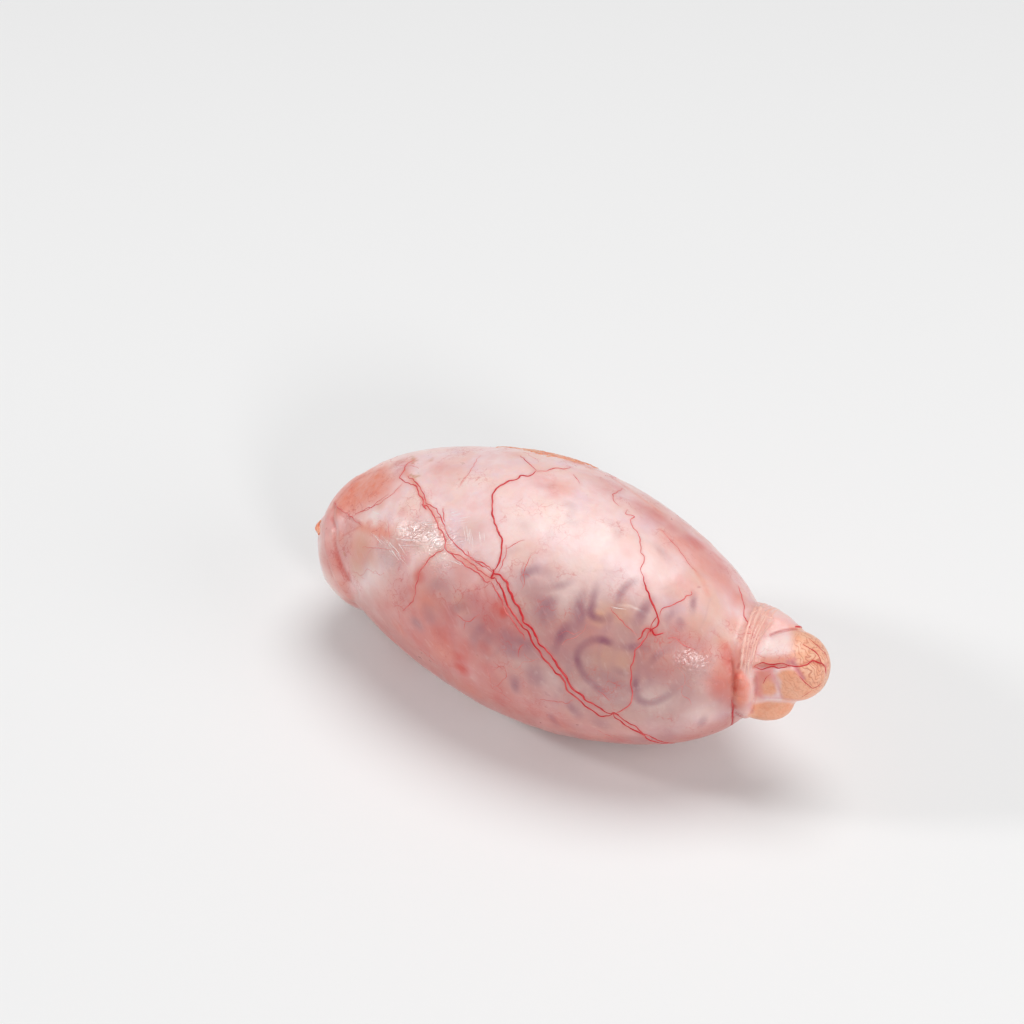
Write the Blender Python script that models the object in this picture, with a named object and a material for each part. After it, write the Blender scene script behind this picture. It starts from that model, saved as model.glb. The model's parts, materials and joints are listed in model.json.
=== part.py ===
"""A raw calf testicle, one piece of soft tissue lying on its side.

The oval testis lies along X with its head at -X and the tail of the epididymis at +X. Z is up and the belly
rests flat at Z = 0. The origin is below the middle of the piece. All sizes are in metres.

The tissue is one solid: an oval body, the rounded head lobe with its rolled rim, the shoulder and the folded
collar of membrane at the neck, and the lobes of the tail. Each is a simple form with its own named sizes. They
are joined, grown together where they meet, and settled on the floor.
"""

import math

import bmesh
import bpy
from mathutils import Matrix, Vector, noise

MM = 0.001

# The oval testis
WIDTH = 50.2 * MM
HEIGHT = 49.6 * MM
HEAD_REACH = 47.0 * MM
TAIL_REACH = 48.5 * MM
HEAD_TAPER = 1.71
TAIL_TAPER = 1.98
HEAD_BOW = Vector((0.0, -1.2 * MM, -1.5 * MM))
TAIL_BOW = Vector((0.0, -0.3 * MM, -0.4 * MM))
CENTRE_HEIGHT = 22.8 * MM
CENTRE = Vector((-5.6 * MM, 0.0, CENTRE_HEIGHT))
UNEVENNESS = 0.45 * MM
UNEVEN_PATCH = 21.0 * MM

# The collar is a slanting ring round the neck: its middle, half sizes and slant from the oval's middle, in mm
COLLAR_MIDDLE = (45.4, 2.6, 2.4)
COLLAR_ACROSS = 8.4
COLLAR_UP = 9.6
COLLAR_SLANT = 1.8
COLLAR_SLANT_FROM = 30.0
COLLAR_FOLDS = 3
COLLAR_STEPS = 24

# The floor: the belly is flat where the round form would reach this far below it
SETTLE = 1.0 * MM
LEVEL = 0.02 * MM

# How finely the tissue is modelled
VOXEL = 0.6 * MM
GROWN_TOGETHER = 5
FACES = 9600


def place(along, across, up):
    """A point given in millimetres from the middle of the oval."""
    return CENTRE + Vector((along, across, up)) * MM


def clear_scene():
    for thing in list(bpy.data.objects):
        bpy.data.objects.remove(thing)


def new_object(name, mesh):
    thing = bpy.data.objects.new(name, mesh)
    bpy.context.scene.collection.objects.link(thing)
    return thing


def shaped_ball(name, shape, segments=64, rings=40):
    """A ball with its poles on X, each point of which is moved by the shape function."""
    bm = bmesh.new()
    poles_on_x = Matrix.Rotation(math.pi / 2, 4, "Y")
    bmesh.ops.create_uvsphere(bm, u_segments=segments, v_segments=rings, radius=1.0, matrix=poles_on_x)
    for vertex in bm.verts:
        vertex.co = shape(vertex.co)
    bmesh.ops.recalc_face_normals(bm, faces=bm.faces)
    mesh = bpy.data.meshes.new(name)
    bm.to_mesh(mesh)
    bm.free()
    return new_object(name, mesh)


def strand(name, points, radii, resolution=3):
    """A round strand of tissue through the points, tapering with the radii."""
    curve = bpy.data.curves.new(name, "CURVE")
    curve.dimensions = "3D"
    curve.bevel_depth = 1.0
    curve.bevel_resolution = resolution
    curve.use_fill_caps = True
    curve.resolution_u = 6
    spline = curve.splines.new("NURBS")
    spline.points.add(len(points) - 1)
    for spline_point, point, radius in zip(spline.points, points, radii):
        spline_point.co = (*point, 1.0)
        spline_point.radius = radius
    spline.use_endpoint_u = True
    spline.order_u = 4
    thing = new_object(name, curve)
    evaluated = thing.evaluated_get(bpy.context.evaluated_depsgraph_get())
    mesh = bpy.data.meshes.new_from_object(evaluated)
    bpy.data.objects.remove(thing)
    bm = bmesh.new()
    bm.from_mesh(mesh)
    bmesh.ops.remove_doubles(bm, verts=bm.verts, dist=0.01 * MM)
    bmesh.ops.recalc_face_normals(bm, faces=bm.faces)
    bm.to_mesh(mesh)
    bm.free()
    return new_object(name, mesh)


def fullness(t):
    """The oval's radius at t, from -1 at the head to 1 at the tail, as a share of its greatest."""
    taper = HEAD_TAPER if t < 0 else TAIL_TAPER
    return math.sqrt(max(0.0, 1.0 - abs(t) ** taper))


def testis():
    """The oval body, blunter towards the tail and slightly uneven all over."""

    def shape(unit):
        around = Vector((unit.y, unit.z))
        direction = around.normalized() if around.length > 1e-6 else Vector((0.0, 0.0))
        reach, bow = (TAIL_REACH, TAIL_BOW) if unit.x > 0 else (HEAD_REACH, HEAD_BOW)
        radius = fullness(unit.x)
        point = Vector(
            (
                unit.x * reach,
                direction.x * radius * WIDTH / 2,
                direction.y * radius * HEIGHT / 2,
            )
        )
        swell = noise.noise(point / UNEVEN_PATCH) * UNEVENNESS
        return CENTRE + point + bow * unit.x**2 + unit * swell

    return shaped_ball("testis", shape, segments=96, rings=72)


def lobe(name, centre, half, turn_up=0.0, turn_across=0.0):
    """An egg-shaped lobe: its middle, its half sizes in millimetres and its tilt in degrees."""
    turn = Matrix.Rotation(math.radians(turn_across), 3, "Z") @ Matrix.Rotation(math.radians(-turn_up), 3, "Y")

    def shape(unit):
        return centre + turn @ Vector((unit.x * half[0], unit.y * half[1], unit.z * half[2])) * MM

    return shaped_ball(name, shape)


def head():
    """The head lobe that caps the -X end, the rim rolled round its near side, and a nub of fat."""
    cap = lobe("head_cap", place(-35.4, -2.4, -2.8), (12.4, 14.9, 14.6))
    rim = strand(
        "head_rim",
        [
            place(-43.4, -7.4, 4.4),
            place(-44.1, -10.0, 1.2),
            place(-41.9, -13.1, -0.6),
            place(-39.4, -15.5, -3.4),
            place(-37.2, -15.7, -7.2),
            place(-34.6, -13.0, -11.4),
        ],
        [0.9 * MM, 1.4 * MM, 1.6 * MM, 1.6 * MM, 1.4 * MM, 0.8 * MM],
    )
    nub = lobe("fat_nub", place(-44.9, -10.2, 1.2), (1.1, 1.3, 1.9))
    return [cap, rim, nub]


def collar_point(angle, inwards, onwards):
    """A point on the collar: 0 degrees is +Y and 90 degrees is up; the other sizes are in millimetres."""
    turn = math.radians(angle)
    along, across, up = COLLAR_MIDDLE
    slant = COLLAR_SLANT * math.cos(turn - math.radians(COLLAR_SLANT_FROM))
    return place(
        along - slant + onwards,
        across + (COLLAR_ACROSS - inwards) * math.cos(turn),
        up + (COLLAR_UP - inwards) * math.sin(turn),
    )


def neck():
    """The shoulder that carries the tail, and the collar of folded membrane round it."""
    shoulder = lobe("shoulder", place(40.6, 2.6, 2.6), (8.2, 9.4, 9.8))
    pieces = [shoulder]
    for fold in range(COLLAR_FOLDS):
        points = []
        radii = []
        for step in range(COLLAR_STEPS + 1):
            angle = 360.0 * step / COLLAR_STEPS
            points.append(collar_point(angle, 0.55 * fold, 0.9 * fold))
            radii.append((1.0 - 0.1 * fold + 0.22 * math.sin(3.0 * math.radians(angle) + fold)) * MM)
        pieces.append(strand(f"collar_fold_{fold}", points, radii))
    return pieces


def tail():
    """The tail of the epididymis: a thick round-ended roll, the flap of membrane on it and the lobe below."""
    end = place(53.2, 3.5, 4.5)
    radius = 6.5
    roll = strand(
        "tail_roll",
        [place(36.0, -0.5, 0.5), place(41.0, 0.6, 1.4), place(47.5, 2.1, 2.9), end],
        [radius * MM] * 4,
        resolution=8,
    )
    return [
        roll,
        lobe("tail_end", end, (radius, radius, radius)),
        lobe("tail_flap", place(45.6, 6.4, 6.8), (8.8, 4.6, 4.6), turn_up=-8.0),
        lobe("tail_lower", place(47.6, 0.4, -2.8), (7.4, 4.8, 4.6), turn_up=3.0),
    ]


def joined(body, pieces):
    """One Boolean union of the body with a collection of the pieces, which are then removed."""
    collection = bpy.data.collections.new("lobes")
    bpy.context.scene.collection.children.link(collection)
    for piece in pieces:
        collection.objects.link(piece)
        bpy.context.scene.collection.objects.unlink(piece)
    union = body.modifiers.new("join", "BOOLEAN")
    union.operation = "UNION"
    union.operand_type = "COLLECTION"
    union.collection = collection
    union.solver = "EXACT"
    apply_modifiers(body)
    for piece in pieces:
        bpy.data.objects.remove(piece)
    bpy.data.collections.remove(collection)


def apply_modifiers(thing):
    evaluated = thing.evaluated_get(bpy.context.evaluated_depsgraph_get())
    mesh = bpy.data.meshes.new_from_object(evaluated)
    thing.modifiers.clear()
    thing.data = mesh


def grow_together(body):
    """Turns the creases where lobes meet into soft grooves, as one skin covers them all."""
    remesh = body.modifiers.new("skin", "REMESH")
    remesh.mode = "VOXEL"
    remesh.voxel_size = VOXEL
    smooth = body.modifiers.new("soften", "SMOOTH")
    smooth.factor = 0.5
    smooth.iterations = GROWN_TOGETHER
    apply_modifiers(body)


def settle(body):
    """Lets the belly spread flat on the floor, with a smooth turn up from the flat to the flank."""
    for vertex in body.data.vertices:
        height = vertex.co.z
        if height <= -SETTLE:
            vertex.co.z = 0.0
        elif height < SETTLE:
            vertex.co.z = (height + SETTLE) ** 2 / (4 * SETTLE)


def thin_out(body):
    """Leaves small faces where the form is tight and large ones where it is broad."""
    body.data.calc_loop_triangles()
    decimate = body.modifiers.new("fewer_faces", "DECIMATE")
    decimate.ratio = FACES / len(body.data.loop_triangles)
    apply_modifiers(body)


def level(body):
    """Makes the belly truly flat and brings the middle of the piece's extent above the origin."""
    for vertex in body.data.vertices:
        if vertex.co.z < LEVEL:
            vertex.co.z = 0.0
    xs = [vertex.co.x for vertex in body.data.vertices]
    ys = [vertex.co.y for vertex in body.data.vertices]
    shift = Vector((-(min(xs) + max(xs)) / 2, -(min(ys) + max(ys)) / 2, 0.0))
    for vertex in body.data.vertices:
        vertex.co += shift


def finish(body):
    body.name = "testicle"
    body.data.name = "testicle"
    body.data.shade_smooth()
    skin = bpy.data.materials.new("moist_membrane")
    skin.use_nodes = True
    principled = skin.node_tree.nodes["Principled BSDF"]
    principled.inputs["Base Color"].default_value = (0.78, 0.50, 0.46, 1.0)
    principled.inputs["Roughness"].default_value = 0.32
    principled.inputs["Metallic"].default_value = 0.0
    body.data.materials.clear()
    body.data.materials.append(skin)


def main():
    clear_scene()
    body = testis()
    joined(body, head() + neck() + tail())
    grow_together(body)
    settle(body)
    thin_out(body)
    level(body)
    finish(body)


main()
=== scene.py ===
"""A raw calf testicle, dressed: moist membrane, blood vessels, deep veins, collar strands, coiled tail.

All sizes are in metres unless a name or docstring says millimetres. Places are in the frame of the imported
part: the head cap is at -X, the lobed tail at +X, and the belly rests on Z = 0. What the photograph shows is
placed by picture points, which are cast along the camera's rays onto the tissue. The hidden sides are
finished by seeded walks over it.
"""

import json
import logging
import math
import random
from collections.abc import Sequence
from dataclasses import dataclass, field
from enum import Enum

import bmesh
import bpy
import numpy as np
from mathutils import Matrix, Quaternion, Vector, noise
from mathutils.bvhtree import BVHTree
from mathutils.kdtree import KDTree

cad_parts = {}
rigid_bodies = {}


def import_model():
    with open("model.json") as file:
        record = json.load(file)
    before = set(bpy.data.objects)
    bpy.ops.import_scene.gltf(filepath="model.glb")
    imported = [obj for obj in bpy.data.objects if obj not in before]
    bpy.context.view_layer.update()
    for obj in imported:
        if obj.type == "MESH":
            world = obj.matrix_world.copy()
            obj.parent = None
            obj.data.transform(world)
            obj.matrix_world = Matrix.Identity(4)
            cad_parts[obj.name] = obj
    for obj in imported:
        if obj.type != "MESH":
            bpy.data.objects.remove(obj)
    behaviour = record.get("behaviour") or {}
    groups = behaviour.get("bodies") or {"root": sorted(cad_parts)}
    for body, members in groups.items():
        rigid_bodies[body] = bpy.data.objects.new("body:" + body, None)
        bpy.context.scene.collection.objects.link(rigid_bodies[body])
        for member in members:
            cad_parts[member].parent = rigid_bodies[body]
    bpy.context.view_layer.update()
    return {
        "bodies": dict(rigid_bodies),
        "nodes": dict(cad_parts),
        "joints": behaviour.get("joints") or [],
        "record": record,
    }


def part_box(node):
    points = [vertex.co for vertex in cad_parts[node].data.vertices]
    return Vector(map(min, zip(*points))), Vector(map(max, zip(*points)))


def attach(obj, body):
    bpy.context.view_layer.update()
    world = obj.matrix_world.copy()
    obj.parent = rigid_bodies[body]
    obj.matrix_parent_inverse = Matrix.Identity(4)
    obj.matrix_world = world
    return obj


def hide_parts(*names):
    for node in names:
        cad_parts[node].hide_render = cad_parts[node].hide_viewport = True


log = logging.getLogger("calf_testicle")

MM = 0.001
NODE = "testicle"
BODY = "root"

Pixel = tuple[float, float]
Span = tuple[float, float]
Colour = tuple[float, float, float, float]


def colour(red: int, green: int, blue: int) -> Colour:
    """A colour given as seen on a screen, from 0 to 255, in the linear numbers that a shader takes.

    Args:
        red: the red share.
        green: the green share.
        blue: the blue share.

    Returns:
        The linear colour, with full alpha.
    """

    def linear(share: int) -> float:
        """One channel in linear light."""
        part = share / 255
        return part / 12.92 if part <= 0.04045 else ((part + 0.055) / 1.055) ** 2.4

    return (linear(red), linear(green), linear(blue), 1.0)


class Tint(Enum):
    """What is painted on the tissue, each in an attribute of its own."""

    VEIN = "deep_vein"
    SMUDGE = "blue_smudge"
    FLUSH = "red_flush"
    SALMON = "salmon"
    TAN = "tan"
    PALE = "pale"
    # A darker, duller wash: duller tissue in places, and painted shade on the low flanks and along the bottom
    # edge
    DUSK = "dusk"
    HALO = "vessel_halo"
    COIL = "coiled_duct"
    LILAC = "lilac_band"
    GLISTEN = "glisten"
    BEADED = "beaded_wet"
    CRIMSON = "crimson_line"
    ROSE = "rose_wash"
    SCARLET = "scarlet_groove"
    OCHRE = "ochre_spot"
    DUCT = "clear_duct"
    PLEXUS = "vein_plexus"


@dataclass(frozen=True)
class Route:
    """A line on the tissue: the picture points it passes, its half width in millimetres, its strength."""

    points: tuple[Pixel, ...]
    width: float
    strength: float = 1.0


@dataclass(frozen=True)
class Spot:
    """A soft round patch on the tissue: its picture point, its radius in millimetres and its strength."""

    at: Pixel
    radius: float
    strength: float = 1.0


def routes(*rows: tuple[float, ...]) -> tuple[Route, ...]:
    """Lines from rows of half width in millimetres, strength, and x and y of each picture point."""
    return tuple(Route(tuple(zip(row[2::2], row[3::2])), row[0], row[1]) for row in rows)


def spots(*rows: tuple[float, float, float, float]) -> tuple[Spot, ...]:
    """Soft patches from rows of x and y in the picture, radius in millimetres and strength."""
    return tuple(Spot((x, y), radius, strength) for x, y, radius, strength in rows)


@dataclass(frozen=True)
class Area:
    """A patch of a tint: its outline in the picture, the width of its soft border there, its strength."""

    tint: Tint
    outline: tuple[Pixel, ...]
    border: float
    strength: float


def areas(*rows: tuple[Tint | float, ...]) -> tuple[Area, ...]:
    """Patches from rows of tint, border, strength, and x and y of each point of the outline."""
    return tuple(Area(row[0], tuple(zip(row[3::2], row[4::2])), row[1], row[2]) for row in rows)


def select_only(thing: bpy.types.Object) -> None:
    """Deselects all, then selects one object and makes it the active one.

    Args:
        thing: the object.
    """
    for other in bpy.context.selected_objects:
        other.select_set(False)
    thing.select_set(True)
    bpy.context.view_layer.objects.active = thing


def apply_modifier(thing: bpy.types.Object, kind: str, settings: dict[str, object]) -> None:
    """Adds a modifier with its settings and applies it.

    Args:
        thing: the object that it changes.
        kind: the modifier's type.
        settings: the modifier's properties by name.
    """
    select_only(thing)
    modifier = thing.modifiers.new(kind.lower(), kind)
    for name, value in settings.items():
        setattr(modifier, name, value)
    bpy.ops.object.modifier_apply(modifier=modifier.name)


def smooth_line(points: Sequence[Vector], step: float) -> list[Vector]:
    """A smooth line through points, with a point at every step.

    Args:
        points: the points it passes.
        step: the distance between the points that are returned.

    Returns:
        Points on a Catmull-Rom line.
    """
    padded = [points[0] * 2 - points[1], *points, points[-1] * 2 - points[-2]]
    line = [points[0].copy()]
    for index in range(1, len(padded) - 2):
        before, start, end, after = padded[index - 1 : index + 3]
        pieces = max(1, round((end - start).length / step))
        for piece in range(1, pieces + 1):
            t = piece / pieces
            line.append(
                0.5
                * (
                    2 * start
                    + (end - before) * t
                    + (2 * before - 5 * start + 4 * end - after) * t**2
                    + (3 * start - before - 3 * end + after) * t**3
                )
            )
    return line


@dataclass(frozen=True)
class Viewpoint:
    """The photograph's camera, and the tissue's middle as it stands in the picture."""

    azimuth: float = 35.0
    elevation: float = 38.0
    lens: float = 100.0
    sensor: float = 36.0
    picture: int = 1024
    scale: float = 0.19 * MM
    middle: Vector = field(default_factory=lambda: Vector((-5.6 * MM, 0.0, 22.8 * MM)))
    middle_seen_at: Pixel = (544.0, 588.0)
    near: float = 0.01

    def axes(self) -> tuple[Vector, Vector, Vector]:
        """The directions of the picture.

        Returns:
            The directions to its right, to its top, and back to the camera.
        """
        turn, rise = math.radians(self.azimuth), math.radians(self.elevation)
        right = Vector((math.cos(turn), math.sin(turn), 0.0))
        back = Vector((math.sin(turn) * math.cos(rise), -math.cos(turn) * math.cos(rise), math.sin(rise)))
        return right, back.cross(right), back

    def eye(self) -> Vector:
        """Finds the camera's place from where the middle is seen.

        Returns:
            Where the camera stands.
        """
        right, up, back = self.axes()
        half = self.picture / 2
        aside = (half - self.middle_seen_at[0]) * self.scale
        above = (self.middle_seen_at[1] - half) * self.scale
        return self.middle + right * aside + up * above + back * self.distance()

    def distance(self) -> float:
        """How far the camera is from the plane through the middle."""
        return self.scale * self.picture * self.lens / self.sensor

    def ray(self, pixel: Pixel) -> Vector:
        """The direction from the eye through a picture point.

        Args:
            pixel: the picture point.

        Returns:
            A unit direction.
        """
        right, up, back = self.axes()
        half, focal = self.picture / 2, self.lens / self.sensor * self.picture
        return (right * (pixel[0] - half) / focal - up * (pixel[1] - half) / focal - back).normalized()

    def seen_at(self, places: np.ndarray) -> np.ndarray:
        """The picture points at which places are seen.

        Args:
            places: the places, one in a row.

        Returns:
            The picture points, one in a row.
        """
        right, up, back = (np.array(axis) for axis in self.axes())
        from_eye = places - np.array(self.eye())
        half, focal = self.picture / 2, self.lens / self.sensor * self.picture
        depth = -(from_eye @ back)
        across, down = half + focal * (from_eye @ right) / depth, half - focal * (from_eye @ up) / depth
        return np.stack((across, down), axis=1)

    def add_camera(self) -> None:
        """Puts the camera in the scene."""
        camera = bpy.data.objects.new("camera", bpy.data.cameras.new("camera"))
        bpy.context.scene.collection.objects.link(camera)
        camera.data.lens = self.lens
        camera.data.sensor_width = self.sensor
        camera.data.clip_start = self.near
        camera.location = self.eye()
        camera.rotation_mode = "QUATERNION"
        camera.rotation_quaternion = (-self.axes()[2]).to_track_quat("-Z", "Y")
        bpy.context.scene.camera = camera


class Surface:
    """The tissue's surface, to find places on it by a picture point, by nearness or by walking.

    A ray that passes beside the tissue is searched for its nearest place over a span of the camera's distance.
    """

    RAY_STEPS = 80
    RAY_FROM = 0.85
    RAY_SPAN = 0.3
    IN_VIEW = -0.05
    BEND_KEPT = 0.75

    def __init__(self, thing: bpy.types.Object, viewpoint: Viewpoint) -> None:
        """Reads the mesh of the tissue.

        Args:
            thing: the tissue.
            viewpoint: the camera that picture points are seen from.
        """
        mesh = thing.data
        corners = [vertex.co.copy() for vertex in mesh.vertices]
        self.tree = BVHTree.FromPolygons(corners, [tuple(face.vertices) for face in mesh.polygons])
        self.viewpoint = viewpoint
        self.eye = viewpoint.eye()

    def seen(self, pixel: Pixel) -> Vector:
        """The place on the surface below a picture point, or the nearest one if its ray passes beside it.

        Args:
            pixel: the picture point.

        Returns:
            The place.
        """
        ray = self.viewpoint.ray(pixel)
        hit = self.tree.ray_cast(self.eye, ray)[0]
        if hit is not None:
            return hit
        reach = self.viewpoint.distance()
        shares = [self.RAY_FROM + self.RAY_SPAN * step / self.RAY_STEPS for step in range(self.RAY_STEPS)]
        found = [self.tree.find_nearest(self.eye + ray * reach * share) for share in shares]
        return min(found, key=lambda place: place[3])[0]

    def nearest(self, point: Vector) -> tuple[Vector, Vector]:
        """The nearest place on the surface and its normal."""
        place, normal, _, _ = self.tree.find_nearest(point)
        return place, normal

    def line(self, route: Route, step: float) -> list[Vector]:
        """A route laid on the surface.

        Args:
            route: the route by its picture points.
            step: the distance between the points that are returned.

        Returns:
            Places on the surface.
        """
        return [self.nearest(point)[0] for point in smooth_line([self.seen(p) for p in route.points], step)]

    def walk(
        self,
        start: Vector,
        heading: Vector,
        length: float,
        step: float,
        turn: float,
        draw: random.Random,
        hidden: bool = False,
    ) -> list[Vector]:
        """A wandering line over the surface.

        Args:
            start: where it starts.
            heading: the direction it first takes.
            length: how far it goes.
            step: the distance between its points.
            turn: how much it may bend at a step, in radians.
            draw: the source of its random bends.
            hidden: whether it ends where it would come into the camera's view.

        Returns:
            Places on the surface.
        """
        back = self.viewpoint.axes()[2]
        place, normal = self.nearest(start)
        line, bend = [place], 0.0
        for _ in range(max(2, round(length / step))):
            bend = self.BEND_KEPT * bend + draw.uniform(-turn, turn)
            heading = Quaternion(normal, bend) @ (heading - normal * heading.dot(normal)).normalized()
            place, normal = self.nearest(place + heading * step)
            if hidden and normal.dot(back) > self.IN_VIEW and len(line) > 1:
                break
            line.append(place)
        return line


class Paint:
    """Soft marks on the points of a mesh, in one attribute for each tint, and relief along the normals."""

    FADE_STEPS = 7
    FADE_PATCH = 2.6 * MM
    FADE_EASE = 0.7
    FADE_LEVEL = 0.86
    FADE_UNEVEN = 0.4
    SOFT = 1.7
    SOFT_FADING = 1.2
    FACING_RISE = 5
    CLEAR_FROM = 0.1
    CLEAR_RISE = 6
    CAP_UNEVEN = 0.5

    def __init__(self, thing: bpy.types.Object) -> None:
        """Reads the points of a mesh.

        Args:
            thing: the object that is painted.
        """
        self.mesh = thing.data
        count = len(self.mesh.vertices)
        self.places = np.empty(count * 3)
        self.mesh.vertices.foreach_get("co", self.places)
        self.places = self.places.reshape(-1, 3)
        self.normals = np.empty(count * 3)
        self.mesh.vertex_normals.foreach_get("vector", self.normals)
        self.normals = self.normals.reshape(-1, 3)
        self.layers = {tint: np.zeros(count) for tint in Tint}
        self.heights = np.zeros(count)
        self.bare = np.ones(count)
        self.tree = KDTree(count)
        for index, place in enumerate(self.places):
            self.tree.insert(place, index)
        self.tree.balance()

    def marks(self, line: Sequence[Vector], reach: float, fading: bool = False) -> dict[int, float]:
        """The points near a line, each with its nearness from 0 at the reach to 1 on the line.

        Args:
            line: close points on the surface.
            reach: how far the mark goes to each side.
            fading: whether the line fades to its ends and is uneven along its way.

        Returns:
            The nearness by the number of the point.
        """
        nearness: dict[int, float] = {}
        last = len(line) - 1
        for step, place in enumerate(line):
            weight = 1.0
            if fading:
                ends = min(1.0, (min(step, last - step) + 1) / max(1.0, min(self.FADE_STEPS, last / 2)))
                uneven = self.FADE_LEVEL + self.FADE_UNEVEN * noise.noise(place / self.FADE_PATCH)
                weight = ends**self.FADE_EASE * uneven
            for _, index, distance in self.tree.find_range(place, reach):
                share = weight * (1 - (distance / reach) ** 2)
                if share > nearness.get(index, 0.0):
                    nearness[index] = share
        return nearness

    def stroke(
        self, tint: Tint, line: Sequence[Vector], reach: float, strength: float, fading: bool = False
    ) -> None:
        """Paints a soft line.

        Args:
            tint: what it is painted with.
            line: close points on the surface.
            reach: its half width.
            strength: its greatest value.
            fading: whether it fades to its ends.
        """
        layer = self.layers[tint]
        softness = self.SOFT_FADING if fading else self.SOFT
        for index, share in self.marks(line, reach, fading).items():
            layer[index] = max(layer[index], strength * self.bare[index] * share**softness)

    def keep_clear(self, side: Vector) -> None:
        """Keeps all further strokes off the points that face a side.

        Args:
            side: the direction that they face.
        """
        self.bare = np.clip((self.CLEAR_FROM - self.normals @ np.array(side)) * self.CLEAR_RISE, 0, 1)

    def fill(self, area: Area, viewpoint: Viewpoint) -> None:
        """Paints a patch on the side that faces the camera.

        Args:
            area: the patch.
            viewpoint: the camera that sees it.
        """
        seen = viewpoint.seen_at(self.places)
        outline = np.array(area.outline)
        inside = np.zeros(len(seen), dtype=bool)
        nearest = np.full(len(seen), np.inf)
        for start, end in zip(outline, np.roll(outline, -1, axis=0)):
            edge = end - start
            along = np.clip(((seen - start) @ edge) / (edge @ edge), 0, 1)
            nearest = np.minimum(nearest, np.linalg.norm(seen - start - along[:, None] * edge, axis=1))
            crosses = (start[1] > seen[:, 1]) != (end[1] > seen[:, 1])
            slope = edge[0] / edge[1] if edge[1] else 0.0
            inside ^= crosses & (seen[:, 0] < start[0] + (seen[:, 1] - start[1]) * slope)
        depth = np.where(inside, nearest, -nearest) / area.border
        share = np.clip(depth * 0.5 + 0.5, 0, 1)
        facing = np.clip(self.normals @ np.array(viewpoint.axes()[2]) * self.FACING_RISE, 0, 1)
        value = area.strength * share * share * (3 - 2 * share) * facing
        self.layers[area.tint] = np.maximum(self.layers[area.tint], value)

    def cap(self, tint: Tint, start: float, border: float, strength: float, side: Vector) -> None:
        """Paints the tail's end beyond a place on X, where it is turned away from a side.

        Args:
            tint: what it is painted with.
            start: where on X the patch starts.
            border: the width of its soft, uneven border.
            strength: its greatest value.
            side: the direction that the painted points don't face.
        """
        uneven = np.array([noise.noise(Vector(place) / self.FADE_PATCH) for place in self.places])
        share = np.clip((self.places[:, 0] - start) / border + uneven * self.CAP_UNEVEN, 0, 1)
        turned_away = np.clip(1 - self.normals @ np.array(side) * self.FACING_RISE, 0, 1)
        value = strength * share * share * (3 - 2 * share) * turned_away
        self.layers[tint] = np.maximum(self.layers[tint], value)

    def raise_line(self, line: Sequence[Vector], reach: float, height: float) -> None:
        """Raises, or sinks, the surface along a line.

        Args:
            line: close points on the surface.
            reach: the half width of the ridge or furrow.
            height: how far it rises, or sinks if negative.
        """
        for index, share in self.marks(line, reach).items():
            self.heights[index] += height * share**2

    def shape(self) -> None:
        """Moves the points by the relief and keeps the belly on the floor."""
        moved = self.places + self.normals * self.heights[:, None]
        moved[:, 2] = np.maximum(moved[:, 2], 0.0)
        self.mesh.vertices.foreach_set("co", moved.ravel())
        self.mesh.update()

    def store(self) -> None:
        """Writes the tints to the mesh."""
        for tint, layer in self.layers.items():
            attribute = self.mesh.attributes.new(tint.value, "FLOAT", "POINT")
            attribute.data.foreach_set("value", np.clip(layer, 0, 1).astype(np.float32))


class Value:
    """A number in a shader, worked with as in plain Python."""

    def __init__(self, bench: "Bench", socket: bpy.types.NodeSocket) -> None:
        """Wraps the output socket of a node on a bench."""
        self.bench = bench
        self.socket = socket

    def _sum(self, operation: str, first: object, second: object) -> "Value":
        """The Math node for an operation on two numbers."""
        return self.bench.value("ShaderNodeMath", {"operation": operation}, {0: first, 1: second})

    def __add__(self, other: object) -> "Value":
        """self + other."""
        return self._sum("ADD", self, other)

    def __radd__(self, other: object) -> "Value":
        """other + self."""
        return self._sum("ADD", other, self)

    def __sub__(self, other: object) -> "Value":
        """self - other."""
        return self._sum("SUBTRACT", self, other)

    def __rsub__(self, other: object) -> "Value":
        """other - self."""
        return self._sum("SUBTRACT", other, self)

    def __mul__(self, other: object) -> "Value":
        """self * other."""
        return self._sum("MULTIPLY", self, other)

    def __rmul__(self, other: object) -> "Value":
        """other * self."""
        return self._sum("MULTIPLY", other, self)

    def __abs__(self) -> "Value":
        """The absolute value."""
        return self._sum("ABSOLUTE", self, 0.0)

    def between(self, low: float, high: float) -> "Value":
        """Eases from 0 at low to 1 at high.

        Args:
            low: where it starts to rise.
            high: where it is full.

        Returns:
            The eased share.
        """
        settings = {"interpolation_type": "SMOOTHSTEP"}
        return self.bench.value("ShaderNodeMapRange", settings, {0: self, 1: low, 2: high, 3: 0.0, 4: 1.0})


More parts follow.
